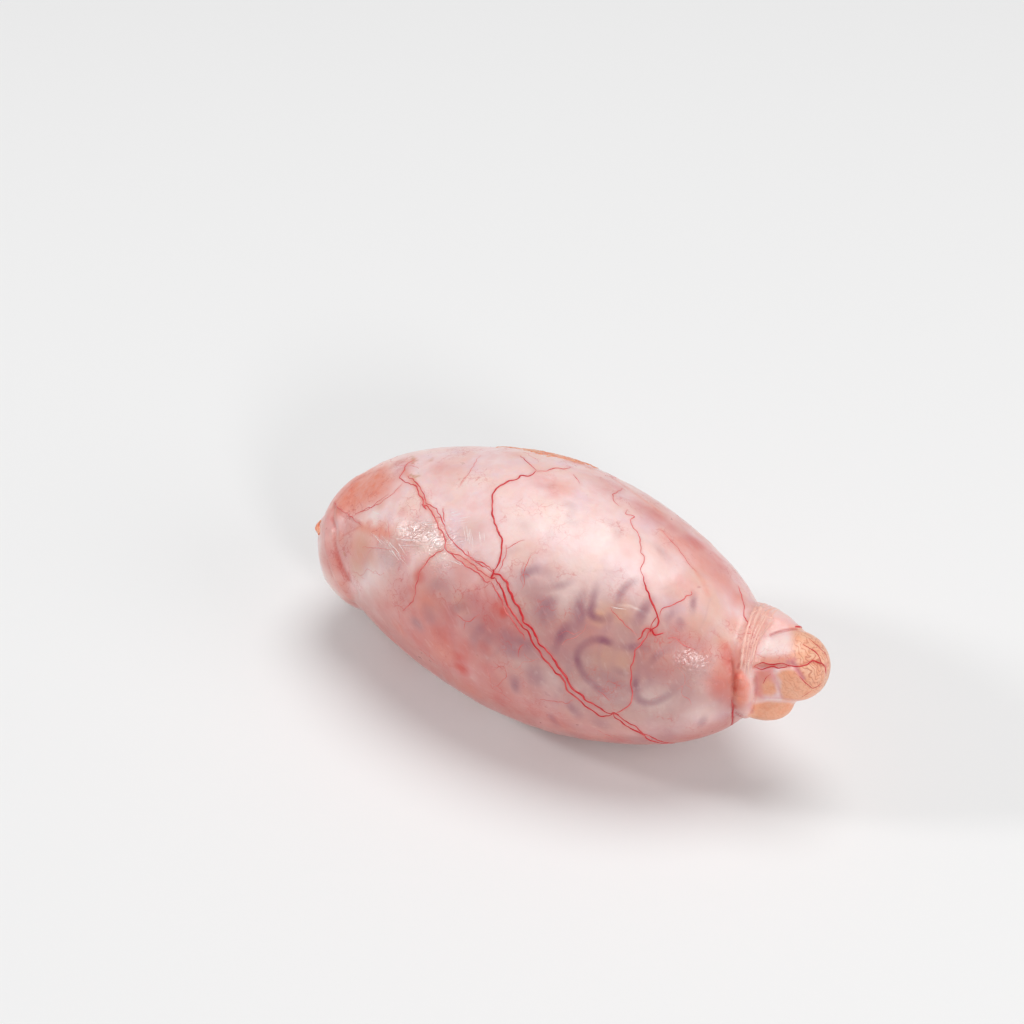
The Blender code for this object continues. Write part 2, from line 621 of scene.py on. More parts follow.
class Bench:
    """A material's node tree and the few ways of adding to it."""

    MIX_COLOUR_A = 6
    MIX_COLOUR_B = 7
    MIX_COLOUR_RESULT = 2
    WAVE_RATE = 20

    def __init__(self, name: str) -> None:
        """Starts a material with a Principled shader.

        Args:
            name: the material's name.
        """
        self.material = bpy.data.materials.new(name)
        self.material.use_nodes = True
        self.tree = self.material.node_tree
        self.shader = self.tree.nodes["Principled BSDF"]
        self.position = self.node("ShaderNodeTexCoord", {}, {}).outputs["Object"]

    def node(
        self, kind: str, settings: dict[str, object], sockets: dict[int | str, object]
    ) -> bpy.types.Node:
        """Adds a node.

        Args:
            kind: the node's type.
            settings: its properties by name, which are set first.
            sockets: values or links by the input's number or name.

        Returns:
            The node.
        """
        made = self.tree.nodes.new(kind)
        for name, setting in settings.items():
            setattr(made, name, setting)
        for key, given in sockets.items():
            self.feed(made.inputs[key], given)
        return made

    def feed(self, socket: bpy.types.NodeSocket, given: object) -> None:
        """Links a value or a socket to an input, or sets its number or colour.

        Args:
            socket: the input.
            given: what it gets.
        """
        if isinstance(given, Value):
            self.tree.links.new(given.socket, socket)
        elif isinstance(given, bpy.types.NodeSocket):
            self.tree.links.new(given, socket)
        else:
            socket.default_value = given

    def value(self, kind: str, settings: dict[str, object], sockets: dict[int | str, object]) -> Value:
        """A node's first output as a number."""
        return Value(self, self.node(kind, settings, sockets).outputs[0])

    def painted(self, tint: Tint) -> Value:
        """What is painted in a tint's attribute."""
        settings = {"attribute_type": "GEOMETRY", "attribute_name": tint.value}
        return Value(self, self.node("ShaderNodeAttribute", settings, {}).outputs["Fac"])

    def grain(self, size: float, detail: float = 2.0, warp: float = 0.0, at: object = None) -> Value:
        """Soft noise whose lumps have about the given size.

        Args:
            size: the size of a lump.
            detail: how many finer layers it has.
            warp: how far it is distorted.
            at: the position it reads, if not the plain one.

        Returns:
            The noise, around a half.
        """
        place = self.position if at is None else at
        sockets = {"Vector": place, "Scale": 1 / size, "Detail": detail, "Distortion": warp}
        return self.value("ShaderNodeTexNoise", {}, sockets)

    def cells(self, size: float, at: object) -> Value:
        """The distance to the edge of irregular cells of the given size."""
        settings = {"feature": "DISTANCE_TO_EDGE"}
        return self.value("ShaderNodeTexVoronoi", settings, {"Vector": at, "Scale": 1 / size})

    def bands(self, spacing: float, curl: float, lump: float) -> Value:
        """Meandering lines, as from a tightly coiled duct.

        Args:
            spacing: from one line to the next.
            curl: how much they meander.
            lump: the size of a meander.

        Returns:
            A wave from 0 to 1 across the lines.
        """
        scale = math.tau / (self.WAVE_RATE * spacing)
        sockets = {"Vector": self.position, "Scale": scale, "Distortion": curl, "Detail": 0.5}
        sockets["Detail Scale"] = 1 / (scale * lump)
        return self.value("ShaderNodeTexWave", {"wave_type": "BANDS", "bands_direction": "DIAGONAL"}, sockets)

    def turned(self, rotation: tuple[float, float, float], stretch: tuple[float, float, float]) -> object:
        """The position turned and stretched, for patterns that run one way.

        Args:
            rotation: the turn about each axis, in radians.
            stretch: how long the pattern is drawn on each of the turned axes.

        Returns:
            The output with the new position.
        """
        sockets = {"Vector": self.position, "Rotation": rotation, "Scale": stretch}
        return self.node("ShaderNodeMapping", {"vector_type": "TEXTURE"}, sockets).outputs[0]

    def shaken(self, size: float, reach: float) -> object:
        """The position moved about by noise, so that patterns on it wander.

        Args:
            size: the size of the noise's lumps.
            reach: how far it moves a place.

        Returns:
            The output with the new position.
        """
        sockets = {"Vector": self.position, "Scale": 1 / size, "Detail": 2.0}
        noise_colour = self.node("ShaderNodeTexNoise", {}, sockets).outputs[1]
        scaled = self.node("ShaderNodeVectorMath", {"operation": "SCALE"}, {0: noise_colour, "Scale": reach})
        sockets = {0: self.position, 1: scaled.outputs[0]}
        return self.node("ShaderNodeVectorMath", {"operation": "ADD"}, sockets).outputs[0]

    def mix(self, share: object, first: object, second: object) -> object:
        """A mix of two colours.

        Args:
            share: how much of the second there is.
            first: a colour or a colour output.
            second: a colour or a colour output.

        Returns:
            The output with the mixed colour.
        """
        sockets = {0: share, self.MIX_COLOUR_A: first, self.MIX_COLOUR_B: second}
        settings = {"data_type": "RGBA", "clamp_factor": True}
        return self.node("ShaderNodeMix", settings, sockets).outputs[self.MIX_COLOUR_RESULT]

    def bumps(self, height: Value, depth: float, strength: float = 1.0) -> None:
        """Feeds the shader's normal with a relief.

        Args:
            height: the relief, from 0 to 1.
            depth: how deep that is.
            strength: how much of it shows.
        """
        made = self.node("ShaderNodeBump", {}, {"Strength": strength, "Distance": depth, "Height": height})
        self.feed(self.shader.inputs["Normal"], made.outputs[0])

    def dress(self, thing: bpy.types.Object) -> None:
        """Gives an object this material alone."""
        thing.data.materials.clear()
        thing.data.materials.append(self.material)


@dataclass(frozen=True)
class Wet:
    """How wet tissue shines and how deep light goes into it."""

    roughness: float = 0.34
    coat: float = 0.12
    coat_roughness: float = 0.3
    depth: float = 1.4 * MM
    share: float = 0.22
    ior: float = 1.45
    coat_ior: float = 1.4
    bleed: tuple[float, float, float] = (1.0, 0.36, 0.24)

    def soak(self, bench: Bench) -> None:
        """Sets the constant sockets of a shader.

        Args:
            bench: the material's bench.
        """
        inputs = bench.shader.inputs
        inputs["Coat Roughness"].default_value = self.coat_roughness
        inputs["Coat IOR"].default_value = self.coat_ior
        inputs["IOR"].default_value = self.ior
        inputs["Subsurface Weight"].default_value = self.share
        inputs["Subsurface Radius"].default_value = self.bleed
        inputs["Subsurface Scale"].default_value = self.depth


@dataclass(frozen=True)
class Stain:
    """How a painted tint shows in the membrane."""

    tint: Tint
    tone: Colour
    ragged: float
    most: float
    coarse: bool = False

    def over(self, bench: Bench, under: object, middle: Value, small: Value) -> object:
        """Lets the tint show over a colour, most where it is full, with an edge that noise makes ragged.

        Args:
            bench: the material's bench.
            under: the colour so far.
            middle: noise of a few millimetres, for a coarse edge.
            small: noise of about a millimetre, for a fine edge.

        Returns:
            The output with the new colour.
        """
        broken = middle if self.coarse else small
        share = bench.painted(self.tint) * (1 - self.ragged * 0.5 + broken * self.ragged) * self.most
        return bench.mix(share, under, self.tone)


@dataclass(frozen=True)
class Membrane:
    """The moist white tunic, with what shows through it painted by tints, and painted shade on the low flanks.
    """

    light: Colour = colour(248, 219, 218)
    rosy: Colour = colour(241, 196, 193)
    warm: Colour = colour(246, 206, 192)
    cool: Colour = colour(236, 204, 214)
    pale: Colour = colour(248, 229, 222)
    plexus: Colour = colour(172, 124, 134)
    capillary: Colour = colour(208, 96, 94)
    coil: Colour = colour(246, 190, 158)
    coil_deep: Colour = colour(240, 160, 122)
    coil_line: Colour = colour(206, 118, 90)
    washes: tuple[Stain, ...] = (
        # The darker, duller wash: partly duller tissue, partly painted shade on the low flanks and the bottom
        # edge
        Stain(Tint.DUSK, colour(189, 139, 133), 0.5, 0.9, coarse=True),
        Stain(Tint.PALE, colour(248, 229, 222), 0.4, 0.85),
        Stain(Tint.ROSE, colour(213, 120, 112), 0.7, 0.85, coarse=True),
        Stain(Tint.TAN, colour(222, 170, 140), 0.6, 0.9, coarse=True),
        Stain(Tint.SALMON, colour(235, 138, 112), 0.8, 0.85),
    )
    deep_stains: tuple[Stain, ...] = (
        Stain(Tint.SMUDGE, colour(172, 124, 132), 0.7, 0.8, coarse=True),
        Stain(Tint.VEIN, colour(148, 90, 108), 0.5, 0.9),
        Stain(Tint.FLUSH, colour(214, 78, 68), 0.9, 0.8),
        Stain(Tint.HALO, colour(222, 120, 114), 0.7, 0.6),
    )
    top_stains: tuple[Stain, ...] = (
        Stain(Tint.LILAC, colour(218, 134, 144), 0.4, 0.8),
        Stain(Tint.SCARLET, colour(204, 66, 52), 0.8, 0.75),
        Stain(Tint.CRIMSON, colour(182, 36, 44), 0.4, 0.85),
        Stain(Tint.OCHRE, colour(196, 134, 74), 0.6, 0.8),
    )
    duct_spacing: float = 0.66 * MM
    duct_curl: float = 10.5
    duct_lump: float = 1.3 * MM
    bump_depth: float = 0.5 * MM
    bump_strength: float = 0.6
    across_picture: float = math.radians(38)
    wet: Wet = Wet()

    def make(self) -> Bench:
        """The membrane's material.

        Returns:
            The bench that holds it.
        """
        bench = Bench("moist_membrane")
        self.wet.soak(bench)
        middle = bench.grain(4.5 * MM, 3.0, 0.4)
        small = bench.grain(1.3 * MM, 3.0, 0.2)
        fibre = bench.grain(0.9 * MM, 3.0, 0.4, bench.turned((0.0, 0.5, -0.5), (5.0, 1.0, 1.0)))
        duct = bench.bands(self.duct_spacing, self.duct_curl, self.duct_lump).between(0.26, 0.02)
        coiled = bench.painted(Tint.COIL).between(0.05, 0.95)

        skin = self.threaded(bench, self.stained(bench, middle, small), fibre)
        skin = bench.mix(coiled * 0.95, skin, self.coiled_tail(bench, middle, small, duct))
        for stain in self.top_stains:
            skin = stain.over(bench, skin, middle, small)
        bench.feed(bench.shader.inputs["Base Color"], skin)
        self.shine(bench, middle, small)
        height = self.relief(bench, middle, small, fibre, duct * coiled)
        bench.bumps(height, self.bump_depth, self.bump_strength)
        return bench

    def stained(self, bench: Bench, middle: Value, small: Value) -> object:
        """The mottled skin with what shows through it from below, and the painted shade of the low flanks.

        Args:
            bench: the material's bench.
            middle: noise of a few millimetres.
            small: noise of about a millimetre.

        Returns:
            The output with the colour.
        """
        broad = bench.grain(16 * MM, 2.0)
        mottle = bench.grain(1.9 * MM, 4.0, 0.5)
        haze = middle.between(0.3, 0.72) * 0.45 + mottle.between(0.34, 0.68) * 0.4
        skin = bench.mix(haze + broad.between(0.35, 0.7) * 0.15, self.light, self.rosy)
        skin = bench.mix(bench.grain(7.0 * MM, 3.0, 0.3).between(0.42, 0.7) * 0.6, skin, self.warm)
        skin = bench.mix(bench.grain(5.5 * MM, 3.0, 0.5).between(0.5, 0.75) * 0.55, skin, self.cool)
        for stain in self.washes:
            skin = stain.over(bench, skin, middle, small)
        winding = abs(bench.grain(8.5 * MM, 0.3, 0.1) - 0.5).between(0.07, 0.0)
        winding = winding + abs(bench.grain(6.0 * MM, 0.2, 0.1) - 0.47).between(0.06, 0.0) * 0.6
        skin = bench.mix(bench.painted(Tint.PLEXUS) * winding * (middle * 0.5), skin, self.plexus)
        for stain in self.deep_stains:
            skin = stain.over(bench, skin, middle, small)
        return skin

    def threaded(self, bench: Bench, skin: object, fibre: Value) -> object:
        """Adds the finest vessels and the pale fibres to the skin.

        Args:
            bench: the material's bench.
            skin: the colour so far.
            fibre: the noise that runs along the fibres.

        Returns:
            The output with the colour.
        """
        threads = bench.cells(4.2 * MM, bench.shaken(2.2 * MM, 5.0 * MM)).between(0.035, 0.0)
        fine = bench.cells(1.9 * MM, bench.shaken(1.1 * MM, 2.4 * MM)).between(0.05, 0.0)
        show = bench.grain(9 * MM, 2.0).between(0.48, 0.66)
        plain = 1 - bench.painted(Tint.PALE) * 0.8
        skin = bench.mix((threads * 0.5 + fine * 0.3) * show * plain, skin, self.capillary)
        return bench.mix(fibre.between(0.56, 0.74) * 0.1, skin, self.pale)

    def coiled_tail(self, bench: Bench, middle: Value, small: Value, duct: Value) -> object:
        """The tan tissue of the tail with its coiled duct.

        Args:
            bench: the material's bench.
            middle: noise of a few millimetres.
            small: noise of about a millimetre.
            duct: the furrows between the loops of the duct.

        Returns:
            The output with the colour.
        """
        flesh = bench.mix(small.between(0.35, 0.65) * 0.6, self.coil, self.coil_deep)
        flesh = bench.mix(bench.grain(0.5 * MM, 2.0).between(0.5, 0.7) * 0.35, flesh, self.coil_line)
        clear = bench.painted(Tint.DUCT)
        flesh = bench.mix(0.5 - clear * 0.5, flesh, self.coil_deep)
        drawn = 0.1 + clear * (0.25 + middle.between(0.35, 0.6) * 0.4)
        return bench.mix(duct * drawn, flesh, self.coil_line)

    def shine(self, bench: Bench, middle: Value, small: Value) -> None:
        """Makes some places wetter than others.

        Args:
            bench: the material's bench.
            middle: noise of a few millimetres.
            small: noise of about a millimetre.
        """
        shine = bench.painted(Tint.GLISTEN) * 0.17 + bench.painted(Tint.BEADED) * 0.14
        sheen = self.wet.roughness + (small - 0.5) * 0.25 + (middle - 0.5) * 0.2 - shine
        bench.feed(bench.shader.inputs["Roughness"], sheen)
        bench.feed(bench.shader.inputs["Coat Weight"], self.wet.coat + (middle - 0.5) * 0.1)

    def relief(self, bench: Bench, middle: Value, small: Value, fibre: Value, furrow: Value) -> Value:
        """The fine relief: soft lumps, wrinkles where it glistens, and beads of wet.

        Args:
            bench: the material's bench.
            middle: noise of a few millimetres.
            small: noise of about a millimetre.
            fibre: the noise that runs along the fibres.
            furrow: the furrows between the loops of the duct.

        Returns:
            The height.
        """
        glisten, beaded = bench.painted(Tint.GLISTEN), bench.painted(Tint.BEADED)
        short = bench.turned((0.0, 0.0, self.across_picture), (6.0, 1.0, 1.0))
        long = bench.turned((0.0, 0.0, self.across_picture), (8.0, 1.0, 1.0))
        wrinkle = bench.grain(0.62 * MM, 2.0, 0.6, short)
        ridges = abs(bench.grain(1.1 * MM, 1.0, 0.4, long) - 0.5).between(0.055, 0.0)
        beads = bench.cells(0.8 * MM, bench.position).between(0.0, 0.4) * 0.4
        beads = beads + bench.grain(0.75 * MM, 1.5, 0.6) * 0.9
        height = middle * 0.45 + small * 0.16 + fibre * 0.1 + wrinkle * (0.05 + glisten * 0.2)
        height = height + bench.grain(0.42 * MM, 2.0) * 0.02 + furrow * -0.08
        return height + ridges * glisten * 0.3 + beads * beaded * 0.3


@dataclass(frozen=True)
class Blood:
    """The wall of a blood vessel just below the wet membrane."""

    name: str = "blood_vessel"
    red: Colour = colour(208, 36, 46)
    faded: Colour = colour(226, 88, 88)
    wet: Wet = Wet(roughness=0.32, depth=0.5 * MM, share=0.1)
    bump_depth: float = 0.06 * MM

    def make(self) -> Bench:
        """The vessels' material.

        Returns:
            The bench that holds it.
        """
        bench = Bench(self.name)
        self.wet.soak(bench)
        patch = bench.grain(2.6 * MM, 3.0)
        tone = bench.mix(patch.between(0.42, 0.72), self.red, self.faded)
        bench.feed(bench.shader.inputs["Base Color"], tone)
        bench.feed(bench.shader.inputs["Roughness"], self.wet.roughness + (patch - 0.5) * 0.2)
        bench.feed(bench.shader.inputs["Coat Weight"], self.wet.coat)
        bench.bumps(bench.grain(0.5 * MM, 2.0), self.bump_depth)
        return bench


@dataclass(frozen=True)
class Sinew:
    """Strands and folds of membrane at the neck and on the head, translucent and streaked; the folds on the
    head take near-white tones as painted highlights.
    """

    name: str = "membrane_strand"
    pale: Colour = colour(248, 200, 186)
    deep: Colour = colour(242, 176, 160)
    blush: Colour = colour(236, 150, 128)
    wet: Wet = Wet(roughness=0.3, depth=0.4 * MM, share=0.0)
    bump_depth: float = 0.18 * MM

    def make(self) -> Bench:
        """The strands' material.

        Returns:
            The bench that holds it.
        """
        bench = Bench(self.name)
        self.wet.soak(bench)
        patch = bench.grain(3.0 * MM, 3.0)
        streak = bench.grain(0.7 * MM, 3.0, 0.4, bench.turned((0.0, 0.0, 0.0), (1.0, 3.0, 3.0)))
        tone = bench.mix(streak.between(0.35, 0.7) * 0.7, self.pale, self.deep)
        tone = bench.mix(patch.between(0.58, 0.76) * 0.55, tone, self.blush)
        bench.feed(bench.shader.inputs["Base Color"], tone)
        bench.feed(bench.shader.inputs["Roughness"], self.wet.roughness + (streak - 0.5) * 0.25)
        bench.feed(bench.shader.inputs["Coat Weight"], self.wet.coat)
        bench.bumps(streak * 0.7 + patch * 0.3, self.bump_depth)
        return bench


@dataclass(frozen=True)
class Fat:
    """Soft orange fat in small lobules."""

    name: str = "surface_fat"
    light: Colour = colour(246, 172, 140)
    deep: Colour = colour(240, 134, 100)
    wet: Wet = Wet(roughness=0.34, depth=1.6 * MM, share=0.3)
    bump_depth: float = 0.16 * MM

    def make(self) -> Bench:
        """The fat's material.

        Returns:
            The bench that holds it.
        """
        bench = Bench(self.name)
        self.wet.soak(bench)
        patch = bench.grain(1.6 * MM, 3.0, 0.3)
        tone = bench.mix(patch.between(0.35, 0.68), self.light, self.deep)
        bench.feed(bench.shader.inputs["Base Color"], tone)
        bench.feed(bench.shader.inputs["Roughness"], self.wet.roughness + (patch - 0.5) * 0.2)
        bench.feed(bench.shader.inputs["Coat Weight"], self.wet.coat)
        bench.bumps(patch * 0.6 + bench.grain(0.5 * MM, 2.0) * 0.4, self.bump_depth)
        return bench


VESSEL_STEP = 0.3 * MM
PAINT_STEP = 0.4 * MM
HALF_SIZE = Vector((44, 25, 24))
NOISE_SEED = 3

# The paler pair from the head to the fork, and the trunk up the right side
PALE_TRUNKS = routes(
    (0.13, 1.0, 414, 460, 406, 465, 404, 471, 400.6, 477.5, 404, 481, 410, 484, 415, 486, 417.5, 491,
     421, 496, 423, 500, 424, 505, 427.5, 507.5, 431, 510, 434, 515, 435, 521, 439, 527.5, 442.5, 532.5,
     446, 540, 445, 546, 447.5, 551, 454, 556, 460, 561, 470, 569, 478, 573, 485, 581, 490.8, 581),
    (0.11, 1.0, 407.5, 476, 416, 482.5, 421, 489, 424, 494, 426, 501, 430, 505, 435, 509, 440, 514,
     443, 520, 445, 527.5, 448.5, 535, 453, 541, 456, 546, 462.5, 551, 470, 557, 478, 562, 486, 567,
     493, 572),
    (0.1, 1.0, 447.5, 551, 456, 555, 466, 560, 476, 567, 484, 574, 492, 579),
    (0.22, 1.0, 422, 504, 425, 507, 427, 509),
    (0.13, 1.0, 615.8, 713.5, 625.6, 707.9, 631, 701, 632.5, 690, 630.6, 676, 632.5, 662.5, 635, 654,
     637.5, 647.5, 644, 640, 650.9, 630.7),
    (0.11, 1.0, 644, 576, 640, 570, 644, 560, 641, 552, 640.5, 540, 636, 531, 631, 522, 634, 517,
     626, 513.6, 627, 509.6),
)

# The red trunks: from the upper edge to the fork and on to the belly, and round the right
TRUNKS = routes(
    (0.18, 1.0, 493.9, 570.6, 500, 560.9, 501.8, 550, 500.6, 539, 496.4, 529.4, 493.3, 518.5, 492.1, 507.6,
     492.7, 495.4, 496.4, 488.8, 506, 482.7, 515.7, 479, 521.8, 475.4, 527.9, 476, 536.3, 471.2),
    (0.25, 1.0, 494, 574, 499.3, 574, 505.6, 581, 509, 589.5, 512.6, 599.3, 519.6, 609, 523.8, 621.7,
     528.7, 625.2, 536.4, 635.8, 540.6, 646, 547.7, 652, 554, 660, 560, 669, 565.3, 676, 570, 686, 581, 695,
     594, 705, 605, 711.5, 611, 714.5),
    (0.2, 1.0, 495, 577.5, 501.4, 586.7, 505.6, 599.3, 511.2, 610.5, 521, 624.5, 529.4, 634.4, 536.4, 648.4,
     547.5, 662.5, 556, 672.5, 564.5, 681, 566.5, 689, 573, 695, 579, 700, 585, 706, 594, 711, 601, 716,
     607.5, 715.6, 614, 713),
    (0.2, 1.0, 613, 714, 617, 718.5, 625, 725, 634, 730, 642.5, 735, 650, 740, 666.3, 743.6),
    (0.16, 1.0, 612, 714, 617.5, 715, 622.5, 719, 630, 724, 637.5, 727.5, 642.5, 732.5, 652.5, 737.5,
     674.7, 743),
    (0.18, 1.0, 651, 630, 655, 628.5, 658, 625, 658.6, 618, 658, 615, 654, 607.5, 651, 600, 649, 594,
     645, 586, 644, 576),
    (0.18, 1.0, 651, 630, 646, 627.5, 643, 631, 642, 637.5, 638.5, 641),
    (0.1, 1.0, 651, 630, 652.5, 622.5, 658, 615),
    (0.19, 1.0, 650, 629, 655, 634.5, 663, 633),
    (0.24, 1.0, 493, 570, 494, 574, 491, 577, 496, 578),
    (0.28, 1.0, 651.5, 628, 651.5, 631, 653, 630),
    (0.22, 1.0, 611, 714, 615, 713.5, 619, 715),
)

# Thin branches off the trunks
BRANCHES = routes(
    (0.1, 1.0, 443, 507.6, 444, 522),
    (0.1, 1.0, 436, 517, 443, 517.3),
    (0.12, 1.0, 466.4, 551.8, 474.7, 560, 484.5, 563.5, 493.6, 571.2),
    (0.12, 1.0, 444.5, 549.4, 433.6, 554.8, 424, 564.5, 419, 573, 416, 586.4, 413.6, 599.7, 403.3, 610.6),
    (0.07, 1.0, 403.3, 483.3, 384, 500.3, 354.8, 514.8),
    (0.1, 1.0, 334.2, 502.7, 351.2, 517.3, 362, 524.5),
    (0.13, 1.0, 490.8, 581.7, 498.6, 595, 503.5, 606.3, 508.4, 616, 515.4, 624.5, 522.4, 634.4, 525.9, 640),
    (0.08, 1.0, 456.5, 614, 465.6, 621, 480.3, 615.4),
    (0.07, 1.0, 465.6, 621, 465, 629),
    (0.09, 1.0, 518.2, 656.8, 519, 649.8, 523.8, 644),
    (0.09, 1.0, 619, 505.6, 614.3, 500.4, 613.2, 494.7, 623, 488.4),
    (0.11, 1.0, 659, 615, 662.6, 608.9, 668.9, 606.6, 674.6, 603.7, 680.4, 602, 685, 596.9, 690.7, 594.6,
     691.8, 590.5),
    (0.12, 1.0, 738.3, 586, 743.5, 602, 744, 612.3, 749.2, 627.3),
    (0.11, 1.0, 668.9, 638.2, 675.8, 638.8, 685, 645.7, 694.2, 650),
    (0.12, 1.0, 536.3, 471.2, 544.8, 471.2, 554.5, 468.2, 564.2, 469.4, 570.3, 467),
    (0.12, 1.0, 536.3, 471.2, 531.5, 466.4, 525.4, 460.3, 519.4, 455.4),
    (0.09, 1.0, 499, 572, 504.8, 557, 506, 545),
    (0.08, 1.0, 506, 548.8, 515.7, 542.7, 524.2, 539.7),
    (0.08, 1.0, 573.9, 474.8, 580, 483.3),
    (0.05, 1.0, 480.5, 455, 471, 470, 459, 487),
    (0.07, 1.0, 611, 608, 615, 614, 622.5, 621, 630, 629, 636, 635),
    (0.06, 1.0, 387.5, 495, 375, 505, 366, 510, 355, 515),
    (0.06, 1.0, 661, 530, 675, 545, 686, 560, 696, 571),
    (0.06, 1.0, 573, 700, 567, 704, 560, 702, 540, 700),
    (0.06, 1.0, 597, 690, 604, 695, 610, 700),
)

# The vessels on the tail's flap
TAIL_VESSELS = routes(
    (0.12, 1.0, 754, 667, 757, 664.5, 764, 663, 772, 664.5, 782, 663.5, 789, 666),
    (0.12, 1.0, 755, 667, 762, 669.5, 772, 666.5, 779, 668, 787, 666),
    (0.16, 1.0, 788, 666, 793, 666, 799, 666.5, 806, 665, 810, 662, 814, 661, 821, 663, 825, 667),
    (0.12, 1.0, 825, 667, 821, 661, 818, 655, 814, 651, 809, 648, 803, 644),
    (0.09, 1.0, 828, 667, 828, 661, 826, 655, 818, 646.5, 808, 638),
    (0.11, 1.0, 800, 676, 804, 681, 809, 685.5, 813.5, 688.5, 818, 686, 821, 683),
    (0.08, 1.0, 812, 690, 808, 693, 802, 697),
    (0.12, 1.0, 825, 667, 825, 673),
    (0.07, 1.0, 763, 684, 766, 678, 771, 673),
    (0.3, 1.0, 795, 627.5, 799, 626.5, 803, 627.5),
    (0.11, 1.0, 732, 700, 733, 712, 731.5, 726),
)

# The violet veins that show through the membrane
DEEP_VEINS = routes(
    (0.75, 0.85, 615, 646, 607, 641, 597, 639.5, 587.5, 642.5, 580, 649, 577, 657.5, 580, 667.5, 586, 677.5,
     597.5, 688, 607, 696),
    (0.6, 1.0, 612, 645, 604, 641, 595, 640),
    (0.7, 0.7, 651, 650, 640, 646, 630, 647.5, 618, 646),
    (0.8, 0.85, 597, 584, 594, 595, 592, 605, 591, 612.5, 595, 617.5, 602.5, 619, 613, 616),
    (0.7, 1.0, 594, 597, 592, 605, 591.5, 612),
    (0.85, 0.75, 583, 592, 580, 605, 581, 615, 577.5, 627),
    (0.8, 0.95, 568, 624, 560, 637.5, 554, 651),
    (0.75, 0.6, 638, 579, 627.5, 585, 620, 595, 617.5, 608),
    (1.0, 0.9, 651, 599, 644, 610, 638, 623),
    (0.7, 0.75, 694, 594, 692.5, 613),
    (0.8, 0.5, 680, 621, 681, 627),
    (0.8, 0.45, 673, 611, 667, 618),
    (0.75, 0.5, 678, 645, 665, 650, 655, 657.5, 647.5, 666),
    (0.85, 0.65, 637, 668, 636, 680, 635, 690, 640, 700, 650, 703, 660, 700, 672, 692, 675, 684),
    (0.7, 0.85, 636, 677, 635, 689),
    (0.7, 0.55, 614, 669, 630, 676),
    (0.8, 0.6, 705, 715, 700, 727),
    (0.75, 0.5, 522.5, 579, 527.5, 572.5, 535, 570, 541, 573),
    (0.75, 0.55, 546, 588, 559, 586, 573, 581),
    (0.8, 0.45, 545, 624, 543.5, 611, 549, 601, 561, 599),
    (0.7, 0.5, 567, 701, 575, 713),
    (0.8, 0.6, 550, 714, 558, 726),
    (0.7, 0.5, 515, 692, 516, 678),
    (0.9, 0.5, 505, 645, 516, 641, 533, 645),
    (0.9, 0.3, 500, 560, 508, 552, 520, 548),
    (1.0, 0.22, 512, 520, 524, 526, 530, 538),
    (1.0, 0.22, 560, 500, 572, 508, 570, 520, 580, 528),
    (1.0, 0.22, 600, 520, 612, 524, 618, 534, 610, 544),
    (0.9, 0.35, 655, 545, 662, 552, 668, 560),
    (1.0, 0.22, 532, 482, 545, 487, 556, 482),
)

# Lines with a soft salmon blush
BLUSHED = routes(
    # The first line follows the upper far edge, where the blush is partly the tissue's own colour and partly
    # painted warm reflected light
    (0.9, 0.42, 588, 466, 604, 474, 617, 481, 640, 497, 660, 512),
    (0.9, 0.63, 404, 471, 415, 484, 424, 500, 436, 518, 443, 536, 452, 550, 468, 562, 490, 578),
    (0.9, 0.42, 661, 530, 675, 545, 688, 560, 696, 571, 702, 580, 708, 594),
    (0.9, 0.28, 442, 549, 428, 560, 419, 573, 416, 590, 411, 605),
)

# Pale seams and folds of the membrane
FOLDS = routes(
    (0.4, 0.8, 619, 605, 630, 606, 639, 610, 645, 614),
    (1.0, 0.7, 320, 545, 322, 560, 330, 580, 342, 596),
    (0.9, 0.6, 752, 612, 747, 630, 744, 650, 742, 668),
    (0.5, 0.7, 776, 681, 779, 694),
    (0.6, 0.7, 757, 697, 775, 699, 797, 699),
)

# Blurred blue stretches of deeper veins
SMUDGES = routes(
    (2.2, 0.5, 520, 580, 540, 600, 548, 625),
    (1.8, 0.6, 468, 600, 474, 603),
    (1.6, 0.5, 428, 612, 430, 616),
    (1.6, 0.65, 480, 627, 476, 636, 473, 644),
    (1.9, 0.75, 497, 638, 510, 641, 522, 644, 530, 650, 536, 655),
    (2.0, 0.75, 536, 674, 536, 677),
    (1.6, 0.6, 515, 680, 515, 686),
    (1.4, 0.5, 416, 626, 420, 626),
    (1.6, 0.5, 553, 720, 558, 730),
    (2.0, 0.3, 376, 556, 384, 556, 394, 563),
    (2.4, 0.45, 646, 660, 655, 675, 660, 690),
    (2.6, 0.35, 600, 665, 612, 690, 630, 700),
    (3.6, 0.5, 466, 612, 484, 624, 506, 634),
    (3.4, 0.4, 545, 642, 566, 650, 588, 654),
    (3.0, 0.45, 560, 731, 600, 741, 650, 740, 690, 727),
    (2.4, 0.45, 714, 698, 724, 706, 730, 716),
    (2.4, 0.3, 640, 655, 652, 648),
    (1.3, 1.0, 473, 650, 474, 640, 480, 630, 490, 624),
    (1.2, 0.95, 484, 652, 486, 642, 492, 635),
    (1.6, 1.0, 493, 632, 505, 634, 518, 640, 530, 646),
    (1.5, 0.95, 500, 646, 512, 650, 524, 654),
    (1.2, 0.95, 450, 616, 456, 609, 466, 607, 474, 612),
    (1.4, 0.95, 541, 600, 540, 610, 544, 622),
    (1.2, 0.8, 552, 598, 550, 610, 552, 620),
    (1.1, 0.8, 522, 584, 526, 574, 536, 570, 546, 572),
    (1.3, 0.65, 430, 590, 438, 584, 448, 586),
    (1.5, 0.95, 578, 600, 578, 616, 574, 628, 563, 634, 556, 646),
    (1.2, 0.95, 513, 676, 517, 692),
    (1.3, 0.8, 572, 706, 580, 718),
    (1.6, 0.8, 594, 720, 607, 727),
    (1.2, 0.8, 413, 621, 421, 627),
)

